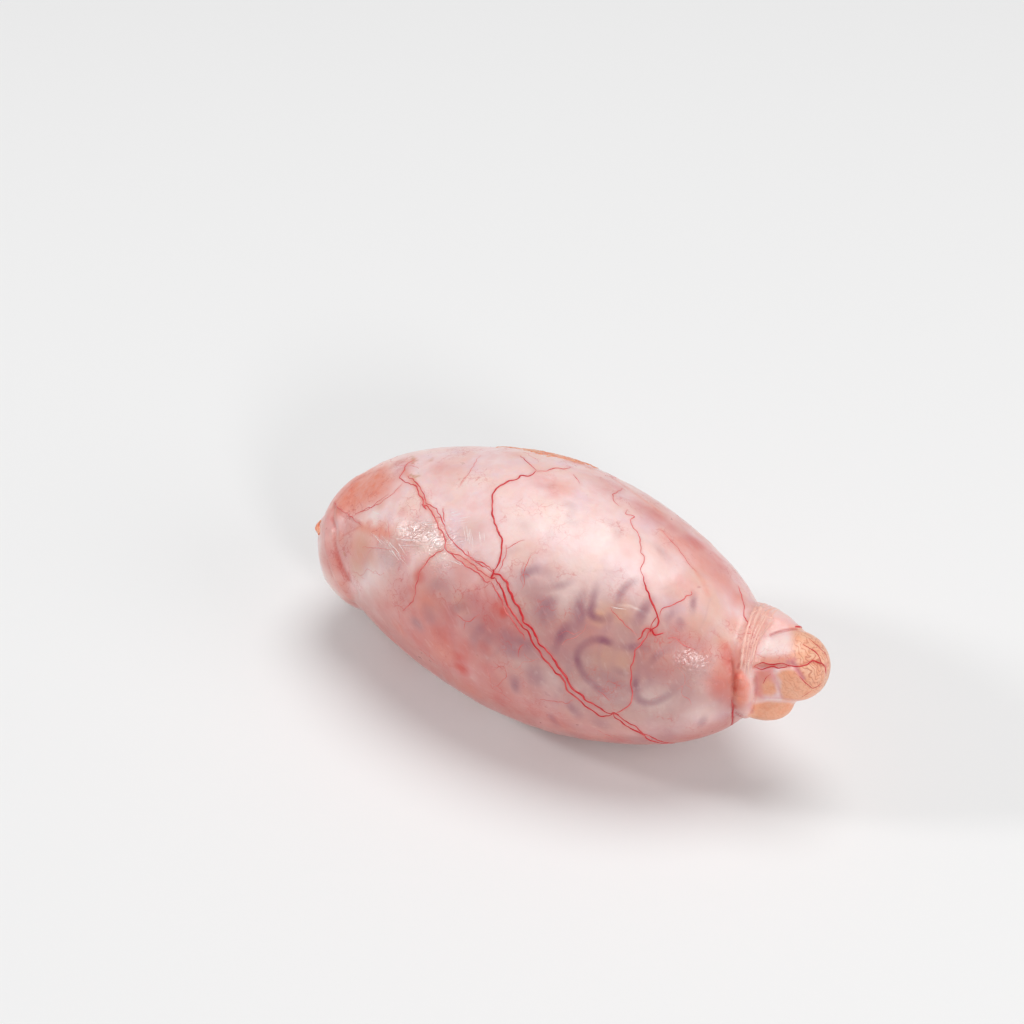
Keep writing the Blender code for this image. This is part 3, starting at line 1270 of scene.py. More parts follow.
# Red flushes
FLUSHES = spots(
    (548, 452, 2.2, 0.35), (562, 456, 2.4, 0.45), (576, 461, 2.2, 0.5), (590, 467, 1.8, 0.3),
    (503, 612, 1.9, 1.0), (497, 607, 2.8, 0.6), (462, 668, 2.6, 1.0), (460, 658, 2.8, 0.7),
    (418, 577, 2.0, 0.75), (412, 588, 1.8, 0.45), (349, 576, 1.5, 0.75), (342, 566, 1.4, 0.6),
    (450, 615, 3.2, 0.35), (445, 635, 4.0, 0.45), (465, 648, 3.5, 0.35), (485, 648, 2.6, 0.4),
    (488, 668, 2.6, 0.3), (500, 700, 3.0, 0.25), (420, 640, 4.0, 0.3), (405, 560, 2.2, 0.25),
    (700, 545, 3.2, 0.55), (714, 556, 3.2, 0.5), (693, 540, 2.2, 0.4), (722, 566, 2.6, 0.35),
    (660, 517, 3.4, 0.35), (672, 527, 2.4, 0.4), (640, 503, 3.2, 0.3), (540, 480, 3.6, 0.22),
    (556, 492, 3.6, 0.22), (585, 738, 3.2, 0.35), (620, 741, 3.6, 0.45), (560, 722, 3.2, 0.25),
    (403, 512, 1.8, 0.3), (438, 468, 2.4, 0.2), (651, 631, 1.2, 0.9), (494, 575, 1.1, 0.6),
    (736, 676, 1.3, 0.9), (735, 688, 1.3, 0.75), (726, 652, 1.2, 0.5), (729, 663, 1.2, 0.6),
    (734, 706, 1.0, 0.8), (732, 717, 0.8, 0.8), (748, 626, 1.0, 0.45), (752, 612, 1.2, 0.4),
    (490, 622, 6.0, 0.32), (470, 606, 5.0, 0.26), (722, 688, 3.6, 0.25), (512, 626, 4.0, 0.25),
)

# Warm salmon patches
SALMONS = spots(
    (506, 447, 2.6, 0.6), (520, 448, 3.0, 0.75), (535, 450, 3.2, 0.85), (548, 453, 3.2, 0.9),
    (562, 457, 3.2, 0.95), (576, 462, 3.0, 0.95), (590, 468, 2.4, 0.6), (604, 475, 2.0, 0.35),
    (345, 492, 4.5, 0.8), (356, 482, 4.5, 0.6), (372, 476, 4.0, 0.4), (338, 506, 3.2, 0.8),
    (374, 497, 4.0, 0.4), (380, 531, 2.6, 0.75), (368, 527, 2.2, 0.7), (388, 533, 2.0, 0.5),
    (352, 545, 3.4, 0.45), (360, 556, 3.2, 0.35), (340, 540, 2.4, 0.4), (342, 584, 2.6, 0.4),
    (336, 560, 2.0, 0.5), (325, 545, 1.8, 0.4), (410, 462, 2.4, 0.4), (395, 492, 3.2, 0.25),
    (425, 600, 4.2, 0.4), (440, 648, 5.0, 0.45), (468, 690, 5.0, 0.3), (400, 628, 3.4, 0.3),
    (700, 560, 5.0, 0.4), (680, 545, 4.0, 0.35), (722, 582, 4.0, 0.3), (712, 540, 3.6, 0.4),
    (668, 540, 3.2, 0.3), (686, 585, 3.0, 0.25), (740, 600, 3.2, 0.4), (735, 625, 3.0, 0.35),
    (762, 614, 2.2, 0.6), (778, 621, 2.6, 0.3), (790, 626, 2.2, 0.4), (726, 648, 2.6, 0.5),
    (734, 680, 2.4, 0.9), (737, 692, 2.0, 0.8), (730, 662, 2.0, 0.6), (744, 700, 2.4, 0.5),
    (560, 728, 4.5, 0.35), (600, 740, 4.5, 0.45), (640, 744, 4.0, 0.35), (708, 652, 2.6, 0.3),
    (540, 470, 4.0, 0.2), (590, 470, 3.4, 0.25), (515, 455, 3.4, 0.25), (468, 455, 3.0, 0.2),
    (352, 534, 4.0, 0.4), (768, 680, 2.6, 0.6), (724, 690, 3.6, 0.45),
)

# Tan patches, where the tissue below shows
TANS = spots(
    (600, 617, 2.4, 0.8), (606, 608, 2.4, 0.5), (620, 612, 3.0, 0.55), (604, 658, 3.8, 0.4),
    (622, 662, 3.4, 0.4), (380, 505, 1.8, 0.4), (461, 607, 3.0, 0.45), (528, 596, 3.0, 0.3),
    (700, 625, 4.0, 0.45), (715, 605, 4.0, 0.4), (672, 590, 3.0, 0.3), (694, 575, 3.4, 0.35),
    (524, 556, 3.6, 0.35), (720, 640, 3.0, 0.4), (413, 459, 0.9, 0.8), (415, 477, 0.9, 0.8),
    (431, 460, 0.6, 0.6), (656, 655, 4.0, 0.2), (360, 546, 4.5, 0.6), (356, 568, 3.6, 0.6),
    (372, 560, 3.0, 0.35),
)

# Pale patches
PALES = spots(
    (372, 578, 4.2, 0.55), (368, 592, 3.6, 0.45), (382, 592, 4.0, 0.35), (374, 515, 1.7, 0.85),
    (374, 524, 1.5, 0.7), (395, 610, 4.0, 0.3), (560, 520, 8.0, 0.5), (600, 540, 8.0, 0.5),
    (625, 560, 6.5, 0.45), (520, 520, 6.0, 0.35), (580, 565, 6.5, 0.4), (660, 565, 4.5, 0.5),
    (640, 545, 5.5, 0.6), (773, 645, 2.7, 0.8), (765, 650, 2.2, 0.7), (784, 642, 2.4, 0.7),
    (770, 655, 2.0, 0.4), (700, 715, 4.0, 0.35), (690, 730, 3.6, 0.3), (470, 480, 6.0, 0.25),
    (550, 680, 4.0, 0.15), (436, 545, 4.6, 0.2), (757, 648, 1.5, 0.5), (748, 700, 1.4, 0.6),
    (570, 592, 6.5, 0.5), (596, 590, 6.0, 0.4), (654, 698, 5.5, 0.45), (382, 480, 4.0, 0.4),
    (376, 612, 3.6, 0.35),
)

# Broad zones of one tint
AREAS = areas(
    (Tint.COIL, 11.0, 1.0, 792, 630, 803, 624, 815, 630, 826, 638, 840, 656, 840, 668, 836, 682, 830, 700,
     812, 694, 800, 690, 797, 673, 795, 664, 792, 655, 792, 644),
    (Tint.COIL, 5.0, 1.0, 797, 670, 815, 672, 834, 672, 830, 684, 819, 694, 806, 702, 795, 702, 783, 700,
     780, 690, 781, 681, 777, 675, 782, 670, 789, 669),
    (Tint.DUCT, 8.0, 1.0, 792, 640, 803, 630, 818, 636, 834, 652, 836, 676, 822, 692, 812, 688, 802, 676,
     798, 664, 792, 655),
    (Tint.DUCT, 8.0, 0.4, 780, 676, 796, 672, 806, 690, 800, 700, 784, 698),
    (Tint.COIL, 4.0, 0.9, 762, 684, 768, 679, 775, 684, 777, 692, 771, 696, 763, 694),
    (Tint.COIL, 4.0, 1.0, 748, 716, 753, 704, 768, 701, 788, 702, 802, 704, 799, 714, 786, 723, 768, 725,
     750, 722),
    (Tint.SALMON, 5.0, 0.65, 754, 656, 775, 656, 792, 655, 796, 660, 792, 666, 754, 667),
    (Tint.TAN, 4.0, 0.5, 754, 657, 775, 657, 792, 655, 796, 660, 792, 666, 754, 667),
    (Tint.SALMON, 6.0, 0.3, 758, 672, 775, 672, 780, 680, 778, 696, 758, 696),
    (Tint.SALMON, 11.0, 0.95, 330, 506, 340, 486, 362, 468, 385, 465, 394, 480, 384, 497, 366, 508,
     355, 516, 342, 514),
    (Tint.SALMON, 5.0, 0.8, 358, 522, 375, 526, 392, 532, 388, 538, 368, 535, 356, 530),
    (Tint.SALMON, 8.0, 0.3, 322, 536, 334, 536, 344, 572, 356, 598, 362, 612, 345, 606, 328, 580),
    (Tint.SALMON, 7.0, 0.35, 758, 606, 800, 624, 795, 629, 770, 634, 752, 640, 748, 620),
    (Tint.ROSE, 5.0, 0.7, 754, 668, 773, 668, 771, 680, 763, 698, 755, 699),
    (Tint.SALMON, 5.0, 0.45, 754, 668, 773, 668, 771, 680, 763, 698, 755, 699),
    (Tint.SALMON, 7.0, 0.35, 546, 480, 566, 480, 579, 486, 576, 493, 556, 493, 546, 488),
    # This row and the next darken and redden the lower left edge; the darkening is painted shade
    (Tint.DUSK, 12.0, 0.9, 345, 600, 400, 660, 470, 705, 540, 738, 540, 712, 470, 680, 410, 635, 370, 595),
    (Tint.ROSE, 12.0, 0.7, 345, 600, 400, 660, 470, 705, 540, 738, 540, 716, 470, 686, 410, 640, 365, 600),
    (Tint.ROSE, 26.0, 0.85, 366, 600, 400, 575, 440, 590, 480, 635, 520, 680, 570, 715, 640, 738, 600, 750,
     520, 735, 440, 695, 390, 650),
    (Tint.ROSE, 16.0, 0.6, 640, 490, 690, 520, 735, 570, 752, 600, 735, 605, 705, 580, 670, 540),
    (Tint.DUSK, 40.0, 0.9, 500, 580, 560, 570, 620, 600, 680, 610, 715, 640, 718, 700, 680, 738, 600, 738,
     520, 700, 470, 640),
    (Tint.DUSK, 30.0, 1.0, 540, 590, 580, 580, 640, 600, 690, 640, 690, 690, 640, 715, 580, 700, 540, 650),
    (Tint.PALE, 10.0, 0.4, 361, 572, 372, 566, 388, 575, 390, 600, 376, 612, 362, 604),
    (Tint.PALE, 5.0, 0.6, 757, 644, 764, 639, 777, 637, 789, 641, 792, 648, 788, 654, 772, 656, 758, 655),
    (Tint.SALMON, 6.0, 1.0, 731, 668, 742, 670, 750, 684, 749, 700, 738, 708, 730, 696),
    (Tint.FLUSH, 6.0, 0.45, 731, 671, 740, 672, 744, 684, 741, 694, 733, 692),
    (Tint.FLUSH, 6.0, 0.5, 720, 638, 727, 645, 733, 660, 736, 674, 729, 672, 723, 658),
    (Tint.SALMON, 14.0, 0.5, 722, 648, 733, 655, 738, 672, 735, 700, 722, 700, 708, 680, 712, 660),
    (Tint.SALMON, 7.0, 0.6, 752, 603, 774, 612, 766, 630, 758, 650, 754, 668, 735, 670, 735, 648, 743, 626),
    (Tint.ROSE, 3.0, 0.55, 334, 512, 346, 518, 363, 527, 346, 537, 337, 541),
    (Tint.ROSE, 16.0, 0.55, 340, 537, 360, 530, 374, 544, 372, 558, 360, 570, 350, 580, 342, 562),
    (Tint.SALMON, 10.0, 0.3, 340, 537, 360, 530, 374, 544, 370, 556, 356, 566, 344, 556),
    # This row and the next darken and redden the bottom edge; the darkening is painted shade
    (Tint.DUSK, 14.0, 1.0, 520, 722, 600, 733, 680, 732, 738, 712, 745, 722, 700, 750, 620, 756, 530, 745),
    (Tint.ROSE, 12.0, 0.8, 520, 724, 600, 736, 680, 735, 738, 716, 745, 722, 700, 750, 620, 756, 530, 745),
    (Tint.PALE, 5.0, 0.6, 318, 548, 326, 548, 334, 575, 348, 596, 340, 600, 326, 582),
    (Tint.FLUSH, 4.0, 0.7, 336, 552, 342, 562, 350, 578, 346, 582, 338, 568),
)

# Lilac bands on the tail
LILACS = routes(
    (0.75, 1.0, 792, 662, 796, 668, 800, 674, 803, 678),
    (0.5, 0.5, 769, 669, 773, 675, 778, 686, 781, 696),
    (0.5, 0.5, 755, 690, 762, 697, 775, 698, 787, 699, 800, 700),
    (0.6, 0.4, 757, 672, 757, 684, 757, 695),
    (0.8, 0.7, 788, 662, 794, 660),
    (0.6, 0.6, 826, 664, 826, 674),
    (0.9, 0.5, 750, 704, 751, 712),
    (0.6, 0.5, 758, 668, 772, 671),
)

# Scarlet grooves by the neck and the head
SCARLETS = routes(
    (0.6, 0.6, 332.5, 518, 335, 528, 335.5, 546, 339, 560, 344, 572, 349, 580),
    (0.4, 0.35, 328, 560, 334, 579, 345, 592, 355, 598),
    (0.4, 0.55, 334, 504, 341, 514, 351, 519, 360, 523),
    (0.35, 0.45, 344, 535, 352, 531, 361, 526),
    (0.6, 0.35, 727, 645, 731, 660, 732.5, 675, 732.5, 690),
    (0.3, 0.9, 732.5, 698, 732.5, 712, 731.5, 726),
    (0.4, 0.35, 754, 680, 755.5, 695, 752, 712),
    (0.6, 0.65, 754, 667, 765, 666, 789, 666),
    (0.45, 0.6, 798, 666, 812, 662, 824, 666),
    (0.6, 0.35, 332, 510, 344, 492, 360, 478, 380, 470),
)

# Small ochre flecks
OCHRES = routes(
    (0.35, 0.9, 412, 456, 413.5, 459.5, 413, 463),
    (0.25, 0.6, 414, 459, 418, 461),
    (0.35, 0.9, 411, 474, 414, 477, 419, 476),
    (0.3, 0.7, 414, 476, 415, 482),
    (0.3, 0.7, 431, 461, 433, 458),
    (0.25, 0.7, 404, 469, 404.5, 471),
    (0.22, 0.8, 344.5, 554, 344.9, 555),
    (0.22, 0.7, 343, 573, 343.3, 574),
    (0.2, 0.6, 457, 474, 457.4, 475),
)

# Crimson lines
CRIMSONS = routes(
    (0.45, 0.75, 771, 635, 777, 632.5, 783, 631, 790, 629.5, 796, 629),
    (0.4, 0.7, 733, 706, 732.5, 715, 732, 725),
    (0.35, 0.8, 736, 713, 740, 716),
    (0.3, 0.6, 698, 587, 698.6, 587.4),
    (0.25, 0.7, 345, 554.5, 345.4, 555.4),
    (0.22, 0.6, 326, 529, 326.4, 530),
    (0.22, 0.6, 353, 595, 353.4, 596),
    (0.35, 0.6, 739, 664, 738, 668),
)

# Darker zones of the flanks: duller tissue, and painted shade along the lower edge and on the low flanks
DULL_AND_SHADE_SPOTS = spots(
    (420, 532, 5.0, 0.55), (440, 540, 4.0, 0.5), (470, 535, 5.0, 0.35), (395, 545, 4.0, 0.5),
    (440, 600, 10.0, 0.7), (490, 640, 11.0, 0.85), (540, 690, 11.0, 0.8), (600, 700, 11.0, 0.7),
    (650, 690, 10.0, 0.7), (680, 670, 8.0, 0.65), (600, 650, 9.0, 0.6), (560, 650, 9.0, 0.6),
    (520, 610, 8.0, 0.5), (640, 620, 7.0, 0.45), (390, 560, 6.0, 0.45), (420, 650, 8.0, 0.6),
    (360, 560, 5.0, 0.35), (345, 545, 4.5, 0.4), (500, 690, 9.0, 0.7), (560, 735, 8.0, 0.8),
    (640, 735, 8.0, 0.6), (720, 670, 4.0, 0.5), (480, 560, 5.0, 0.25), (410, 600, 6.0, 0.4),
    (552, 644, 7.0, 0.75), (718, 690, 5.0, 0.8), (736, 704, 4.0, 0.6), (470, 622, 6.0, 0.6),
    (510, 632, 6.0, 0.7), (572, 728, 6.0, 0.8), (620, 738, 6.0, 0.8), (672, 728, 6.0, 0.7),
)

# Where drops of wet stand
BEADEDS = spots(
    (689, 658, 3.6, 1.0), (692, 667, 2.8, 1.0), (704, 657, 2.4, 0.9), (713, 674, 2.6, 0.9),
    (700, 680, 2.6, 0.5), (738, 684, 2.2, 0.7), (707, 664, 2.4, 0.8),
)

# Where the membrane is wettest
GLISTENS = spots(
    (435, 545, 5.0, 0.8), (412, 536, 5.0, 1.0), (430, 532, 4.0, 1.0), (455, 538, 4.0, 0.8),
    (395, 560, 4.0, 0.5), (380, 545, 3.0, 0.4), (475, 560, 3.6, 0.4), (757, 625, 2.0, 0.4),
    (736, 690, 2.0, 0.8), (448, 520, 3.0, 0.5), (440, 566, 3.0, 0.5),
)

# Rose washes
ROSES = spots(
    (345, 490, 9.0, 0.5), (332, 520, 6.0, 0.7), (330, 560, 6.0, 0.8), (345, 590, 5.0, 0.7),
    (375, 480, 8.0, 0.25), (430, 620, 9.0, 0.8), (460, 670, 8.0, 0.95), (400, 590, 7.0, 0.5),
    (410, 640, 7.0, 0.8), (500, 640, 7.0, 0.5), (500, 700, 8.0, 0.8), (550, 725, 8.0, 0.8),
    (620, 742, 7.0, 0.6), (690, 540, 8.0, 0.7), (715, 565, 6.0, 0.6), (655, 515, 7.0, 0.6),
    (610, 485, 7.0, 0.4), (690, 735, 6.0, 0.4), (735, 660, 4.0, 0.8), (735, 700, 4.0, 0.8),
    (745, 600, 4.0, 0.4), (425, 575, 5.0, 0.6), (690, 640, 7.0, 0.5), (660, 660, 7.0, 0.4),
    (380, 540, 5.0, 0.4), (450, 470, 6.0, 0.3), (530, 650, 6.0, 0.3), (464, 574, 5.5, 0.6),
    (478, 598, 6.0, 0.75), (496, 618, 6.0, 0.75), (514, 630, 5.0, 0.55), (403, 552, 4.5, 0.45),
    (402, 470, 3.6, 0.5), (352, 528, 3.6, 0.35), (442, 590, 5.0, 0.45), (640, 548, 7.0, 0.28),
    (688, 592, 6.0, 0.3), (664, 560, 5.0, 0.25), (720, 684, 4.6, 0.6), (738, 706, 3.6, 0.45),
    (560, 640, 6.0, 0.35), (594, 632, 5.0, 0.3), (398, 463, 3.0, 0.6), (336, 512, 4.0, 0.6),
    (360, 548, 4.0, 0.5), (768, 682, 2.6, 0.5),
)

# Where a faint net of veins shows
PLEXUSES = spots(
    (600, 640, 13.0, 0.9), (640, 690, 11.0, 0.8), (690, 610, 9.0, 0.8), (540, 590, 9.0, 0.6),
    (560, 680, 10.0, 0.7), (490, 650, 9.0, 0.6), (450, 620, 9.0, 0.45), (620, 580, 9.0, 0.6),
    (700, 690, 8.0, 0.6), (560, 530, 10.0, 0.25), (640, 520, 9.0, 0.3), (470, 480, 10.0, 0.25),
    (410, 640, 8.0, 0.4), (370, 560, 6.0, 0.35), (520, 710, 8.0, 0.5), (720, 640, 5.0, 0.4),
)

# Ridges and furrows: the strength is the height in millimetres, and a furrow's is negative
FURROWS = routes(
    (1.1, -0.4, 334, 508, 332.5, 520, 335, 530, 335.5, 546, 339, 560, 344, 572, 350, 581, 357, 592),
    (1.3, 0.3, 328, 512, 326, 530, 327, 548, 332, 566, 340, 583, 350, 598),
    (0.5, 0.2, 334, 502, 345, 511, 354, 518, 362, 524.5),
    (0.55, 0.14, 337, 540, 348, 534, 362, 527),
    (0.4, 0.1, 362, 526, 374, 519, 392, 508, 410, 492),
    (0.9, -0.2, 754, 667, 770, 667, 789, 665.5, 800, 664.5, 812, 662, 823.5, 667),
    (0.6, -0.22, 792, 664, 797, 670, 803, 678, 809, 688),
    (0.6, -0.2, 774, 672, 778, 684, 781, 697),
    (0.6, -0.3, 771, 635, 783, 631, 797, 629),
    (0.55, -0.22, 731, 662, 732.5, 675, 732, 695, 732, 712, 731, 726),
    (0.35, 0.16, 756, 606, 749.5, 620, 745.5, 634, 743, 648, 741.5, 660),
    (0.35, 0.18, 761, 608, 754.5, 621, 749.5, 636, 746.5, 650, 744.5, 664),
    (0.35, 0.18, 766, 612, 759, 625, 753.5, 639, 750, 652, 747.5, 666),
    (0.35, 0.16, 772, 618, 763.5, 630, 757, 641, 753.5, 653, 751, 667),
    (0.6, -0.35, 754, 678, 755.5, 695, 752, 712),
    (0.45, -0.3, 735, 711, 741, 715),
    (0.6, -0.2, 328, 560, 333, 578, 344, 592, 354, 598),
    (0.8, 0.22, 742, 660, 746, 645, 750, 630, 757, 614, 766, 606),
    (0.5, -0.15, 754, 664, 757, 650, 763, 637, 772, 625),
)


@dataclass(frozen=True)
class Strewn:
    """Patches of a tint strewn over the hidden sides, with the least and most radius in millimetres."""

    tint: Tint
    count: int
    least: float
    most: float
    strength: float


STREWN: tuple[Strewn, ...] = (
    Strewn(Tint.SMUDGE, 22, 1.6, 2.8, 0.6),
    Strewn(Tint.FLUSH, 26, 1.8, 4.0, 0.6),
    Strewn(Tint.SALMON, 30, 3.0, 6.0, 0.55),
    Strewn(Tint.TAN, 16, 2.5, 4.5, 0.5),
    Strewn(Tint.PALE, 22, 4.0, 8.0, 0.6),
    Strewn(Tint.DUSK, 22, 7.0, 12.0, 0.7),
    Strewn(Tint.ROSE, 26, 5.0, 10.0, 0.8),
    Strewn(Tint.PLEXUS, 22, 8.0, 13.0, 0.8),
)


@dataclass(frozen=True)
class Fold:
    """A soft flap of tissue that hangs over what it lies on, from one picture point to another."""

    top: Pixel
    low: Pixel
    half_width: float = 1.9 * MM
    half_depth: float = 1.6 * MM
    sunk: float = 0.2 * MM
    widening: float = 0.3
    overhang: float = 1.05

    def build(self, surface: Surface) -> bpy.types.Object:
        """Makes the flap, closed and half sunk, to be grown together with the tissue.

        Args:
            surface: what it lies on.

        Returns:
            The flap.
        """
        top, low = surface.seen(self.top), surface.seen(self.low)
        centre, normal = surface.nearest((top + low) / 2)
        half = (low - top).length / 2 * self.overhang
        down = (low - top).normalized()
        turn = Matrix((normal.cross(down).normalized(), normal, down)).transposed()
        bpy.ops.mesh.primitive_uv_sphere_add(segments=40, ring_count=24, radius=1.0, location=(0, 0, 0))
        flap = bpy.context.view_layer.objects.active
        for vertex in flap.data.vertices:
            across, out, along = vertex.co
            wide = self.half_width * (1 + self.widening * along)
            point = Vector((across * wide, out * self.half_depth, along * half))
            vertex.co = centre - normal * self.sunk + turn @ point
        return flap


@dataclass
class Tissue:
    """The whole soft body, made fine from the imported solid, with its furrows, ridges and painted tints."""

    viewpoint: Viewpoint
    folds: tuple[Fold, ...] = (Fold((740, 673), (745, 714)),)
    voxel: float = 0.5 * MM
    smoothing: int = 7
    fine_from: float = 38 * MM
    merged: float = 0.001 * MM
    end_smoothing: int = 3
    lump_size: float = 5.0 * MM
    lump_height: float = 0.11 * MM
    finer_lumps: float = 2.3
    finer_share: float = 0.5
    fading_reach: float = 1.35
    halo_reach: float = 0.4
    halo_least: float = 0.15
    halo_gain: float = 2.0
    hidden_veins: int = 34
    vein_turn: float = 0.12
    vein_facing: float = -0.1
    patch_facing: float = -0.15
    least_way: float = 0.2
    coil_from_end: float = 10.5 * MM
    duct_from_end: float = 9.0 * MM
    seed: int = 11
    thing: bpy.types.Object | None = None

    def build(self, frame: dict[str, object]) -> bpy.types.Object:
        """Makes the tissue's mesh and gives it its relief and tints.


        Returns:
            The tissue.
        """
        solid = frame["nodes"][NODE]
        tissue = bpy.data.objects.new("moist_tissue", solid.data.copy())
        bpy.context.scene.collection.objects.link(tissue)
        select_only(tissue)
        bpy.ops.object.mode_set(mode="EDIT")
        bpy.ops.mesh.select_all(action="SELECT")
        bpy.ops.mesh.remove_doubles(threshold=self.merged)
        bpy.ops.object.mode_set(mode="OBJECT")
        surface = Surface(tissue, self.viewpoint)
        flaps = [fold.build(surface) for fold in self.folds]
        select_only(tissue)
        for flap in flaps:
            flap.select_set(True)
        bpy.ops.object.join()
        apply_modifier(tissue, "REMESH", {"mode": "VOXEL", "voxel_size": self.voxel})
        apply_modifier(tissue, "SMOOTH", {"factor": 0.5, "iterations": self.smoothing})
        for face in tissue.data.polygons:
            face.select = face.center.x > self.fine_from
        bpy.ops.object.mode_set(mode="EDIT")
        bpy.ops.mesh.subdivide(number_cuts=1, smoothness=0)
        bpy.ops.object.mode_set(mode="OBJECT")
        apply_modifier(tissue, "SMOOTH", {"factor": 0.5, "iterations": self.end_smoothing})
        self.thing = tissue
        self.carve()
        self.paint()
        tissue.data.shade_smooth()
        return tissue

    def carve(self) -> None:
        """Sinks the furrows, raises the ridges and makes the whole slightly lumpy."""
        surface = Surface(self.thing, self.viewpoint)
        paint = Paint(self.thing)
        for furrow in FURROWS:
            paint.raise_line(surface.line(furrow, PAINT_STEP), furrow.width * MM, furrow.strength * MM)
        for index, place in enumerate(paint.places):
            at = Vector(place) / self.lump_size
            lumps = noise.noise(at) + self.finer_share * noise.noise(at * self.finer_lumps)
            paint.heights[index] += self.lump_height * lumps
        paint.shape()

    def paint(self) -> None:
        """Paints what shows through the membrane, and shade on the low flanks, as the picture shows it and
        then on the hidden sides.
        """
        surface = Surface(self.thing, self.viewpoint)
        paint = Paint(self.thing)
        for tint, lines in (
            (Tint.VEIN, DEEP_VEINS),
            (Tint.SMUDGE, SMUDGES),
            (Tint.LILAC, LILACS),
            (Tint.CRIMSON, CRIMSONS),
            (Tint.SCARLET, SCARLETS),
            (Tint.OCHRE, OCHRES),
            (Tint.SALMON, BLUSHED),
            (Tint.PALE, FOLDS),
        ):
            fading = tint in (Tint.VEIN, Tint.SMUDGE)
            for route in lines:
                reach = route.width * MM * (self.fading_reach if fading else 1.0)
                paint.stroke(tint, surface.line(route, PAINT_STEP), reach, route.strength, fading)
        for tint, patches in (
            (Tint.FLUSH, FLUSHES),
            (Tint.SALMON, SALMONS),
            (Tint.TAN, TANS),
            (Tint.PALE, PALES),
            (Tint.DUSK, DULL_AND_SHADE_SPOTS),
            (Tint.GLISTEN, GLISTENS),
            (Tint.BEADED, BEADEDS),
            (Tint.ROSE, ROSES),
            (Tint.PLEXUS, PLEXUSES),
        ):
            for spot in patches:
                paint.stroke(tint, [surface.seen(spot.at)], spot.radius * MM, spot.strength)
        for route in (*TRUNKS, *PALE_TRUNKS, *BRANCHES):
            reach = (self.halo_reach + route.width * self.halo_gain) * MM
            strength = self.halo_least + route.width * self.halo_gain
            paint.stroke(Tint.HALO, surface.line(route, PAINT_STEP), reach, strength)
        for area in AREAS:
            paint.fill(area, self.viewpoint)
        self.paint_hidden(surface, paint)
        paint.store()

    def paint_hidden(self, surface: Surface, paint: Paint) -> None:
        """Paints the sides that the picture doesn't show.

        Args:
            surface: the tissue's surface.
            paint: the paint on its points.
        """
        draw = random.Random(self.seed)
        back = self.viewpoint.axes()[2]
        paint.keep_clear(back)
        low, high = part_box(NODE)
        middle = (low + high) / 2

        def hidden_place(share: float) -> Vector:
            """Draws a place on the sides that the camera doesn't see well.

            Args:
                share: how far it may be turned to the camera, as a cosine.

            Returns:
                The place, near the surface.
            """
            while True:
                way = Vector((draw.uniform(-1, 1), draw.uniform(-1, 1), draw.uniform(-1, 1)))
                if self.least_way < way.length < 1 and way.normalized().dot(back) < share:
                    way.normalize()
                    return middle + way * HALF_SIZE * MM

        for _ in range(self.hidden_veins):
            start = hidden_place(self.vein_facing)
            heading = Vector((draw.uniform(-1, 1), draw.uniform(-1, 1), draw.uniform(-1, 1)))
            length = draw.uniform(7, 18) * MM
            line = surface.walk(start, heading, length, PAINT_STEP, self.vein_turn, draw)
            paint.stroke(Tint.VEIN, line, draw.uniform(0.9, 1.5) * MM, draw.uniform(0.3, 0.65), fading=True)
        for strewn in STREWN:
            for _ in range(strewn.count):
                place = surface.nearest(hidden_place(self.patch_facing))[0]
                reach = draw.uniform(strewn.least, strewn.most) * MM
                paint.stroke(strewn.tint, [place], reach, strewn.strength * draw.uniform(0.5, 1.0))
        paint.cap(Tint.COIL, high.x - self.coil_from_end, 3.0 * MM, 1.0, back)
        paint.cap(Tint.DUCT, high.x - self.duct_from_end, 4.0 * MM, 0.8, back)


@dataclass
class Strands:
    """Round strands laid half sunk on the tissue: vessels, and threads of membrane."""

    name: str
    sunk: float = 0.35
    sides: int = 1
    wave: float = 0.36 * MM
    wave_length: float = 1.3 * MM
    end_girth: float = 0.45
    taper_steps: int = 8
    swelling: float = 0.5
    swell_rate: float = 0.9
    apart: float = 3.7
    lines: list[tuple[list[Vector], float]] = field(default_factory=list)

    def lay(self, line: Sequence[Vector], radius: float) -> None:
        """Adds a strand along places on the tissue."""
        self.lines.append((list(line), radius))

    def build(self, surface: Surface) -> bpy.types.Object:
        """Makes one mesh of all the strands.

        Args:
            surface: the tissue that they lie on.

        Returns:
            The mesh.
        """
        curve = bpy.data.curves.new(self.name, "CURVE")
        curve.dimensions = "3D"
        curve.bevel_depth = 1.0
        curve.bevel_resolution = self.sides
        curve.use_fill_caps = True
        for number, (line, radius) in enumerate(self.lines):
            spline = curve.splines.new("POLY")
            spline.points.add(len(line) - 1)
            last = len(line) - 1
            for index, place in enumerate(line):
                at = place / self.wave_length
                shake = noise.noise_vector(at + Vector((0, 0, number * self.apart))) * self.wave
                on, normal = surface.nearest(place + shake)
                from_end = min(index, last - index) / max(1, min(self.taper_steps, last / 2))
                taper = min(1.0, self.end_girth + (1 - self.end_girth) * from_end)
                swell = 1 + self.swelling * noise.noise(at * self.swell_rate)
                girth = radius * taper * swell
                spline.points[index].co = (*(on - normal * girth * self.sunk), 1.0)
                spline.points[index].radius = girth
        thing = bpy.data.objects.new(self.name, curve)
        bpy.context.scene.collection.objects.link(thing)
        select_only(thing)
        bpy.ops.object.convert(target="MESH")
        thing = bpy.context.view_layer.objects.active
        thing.data.shade_smooth()
        return thing


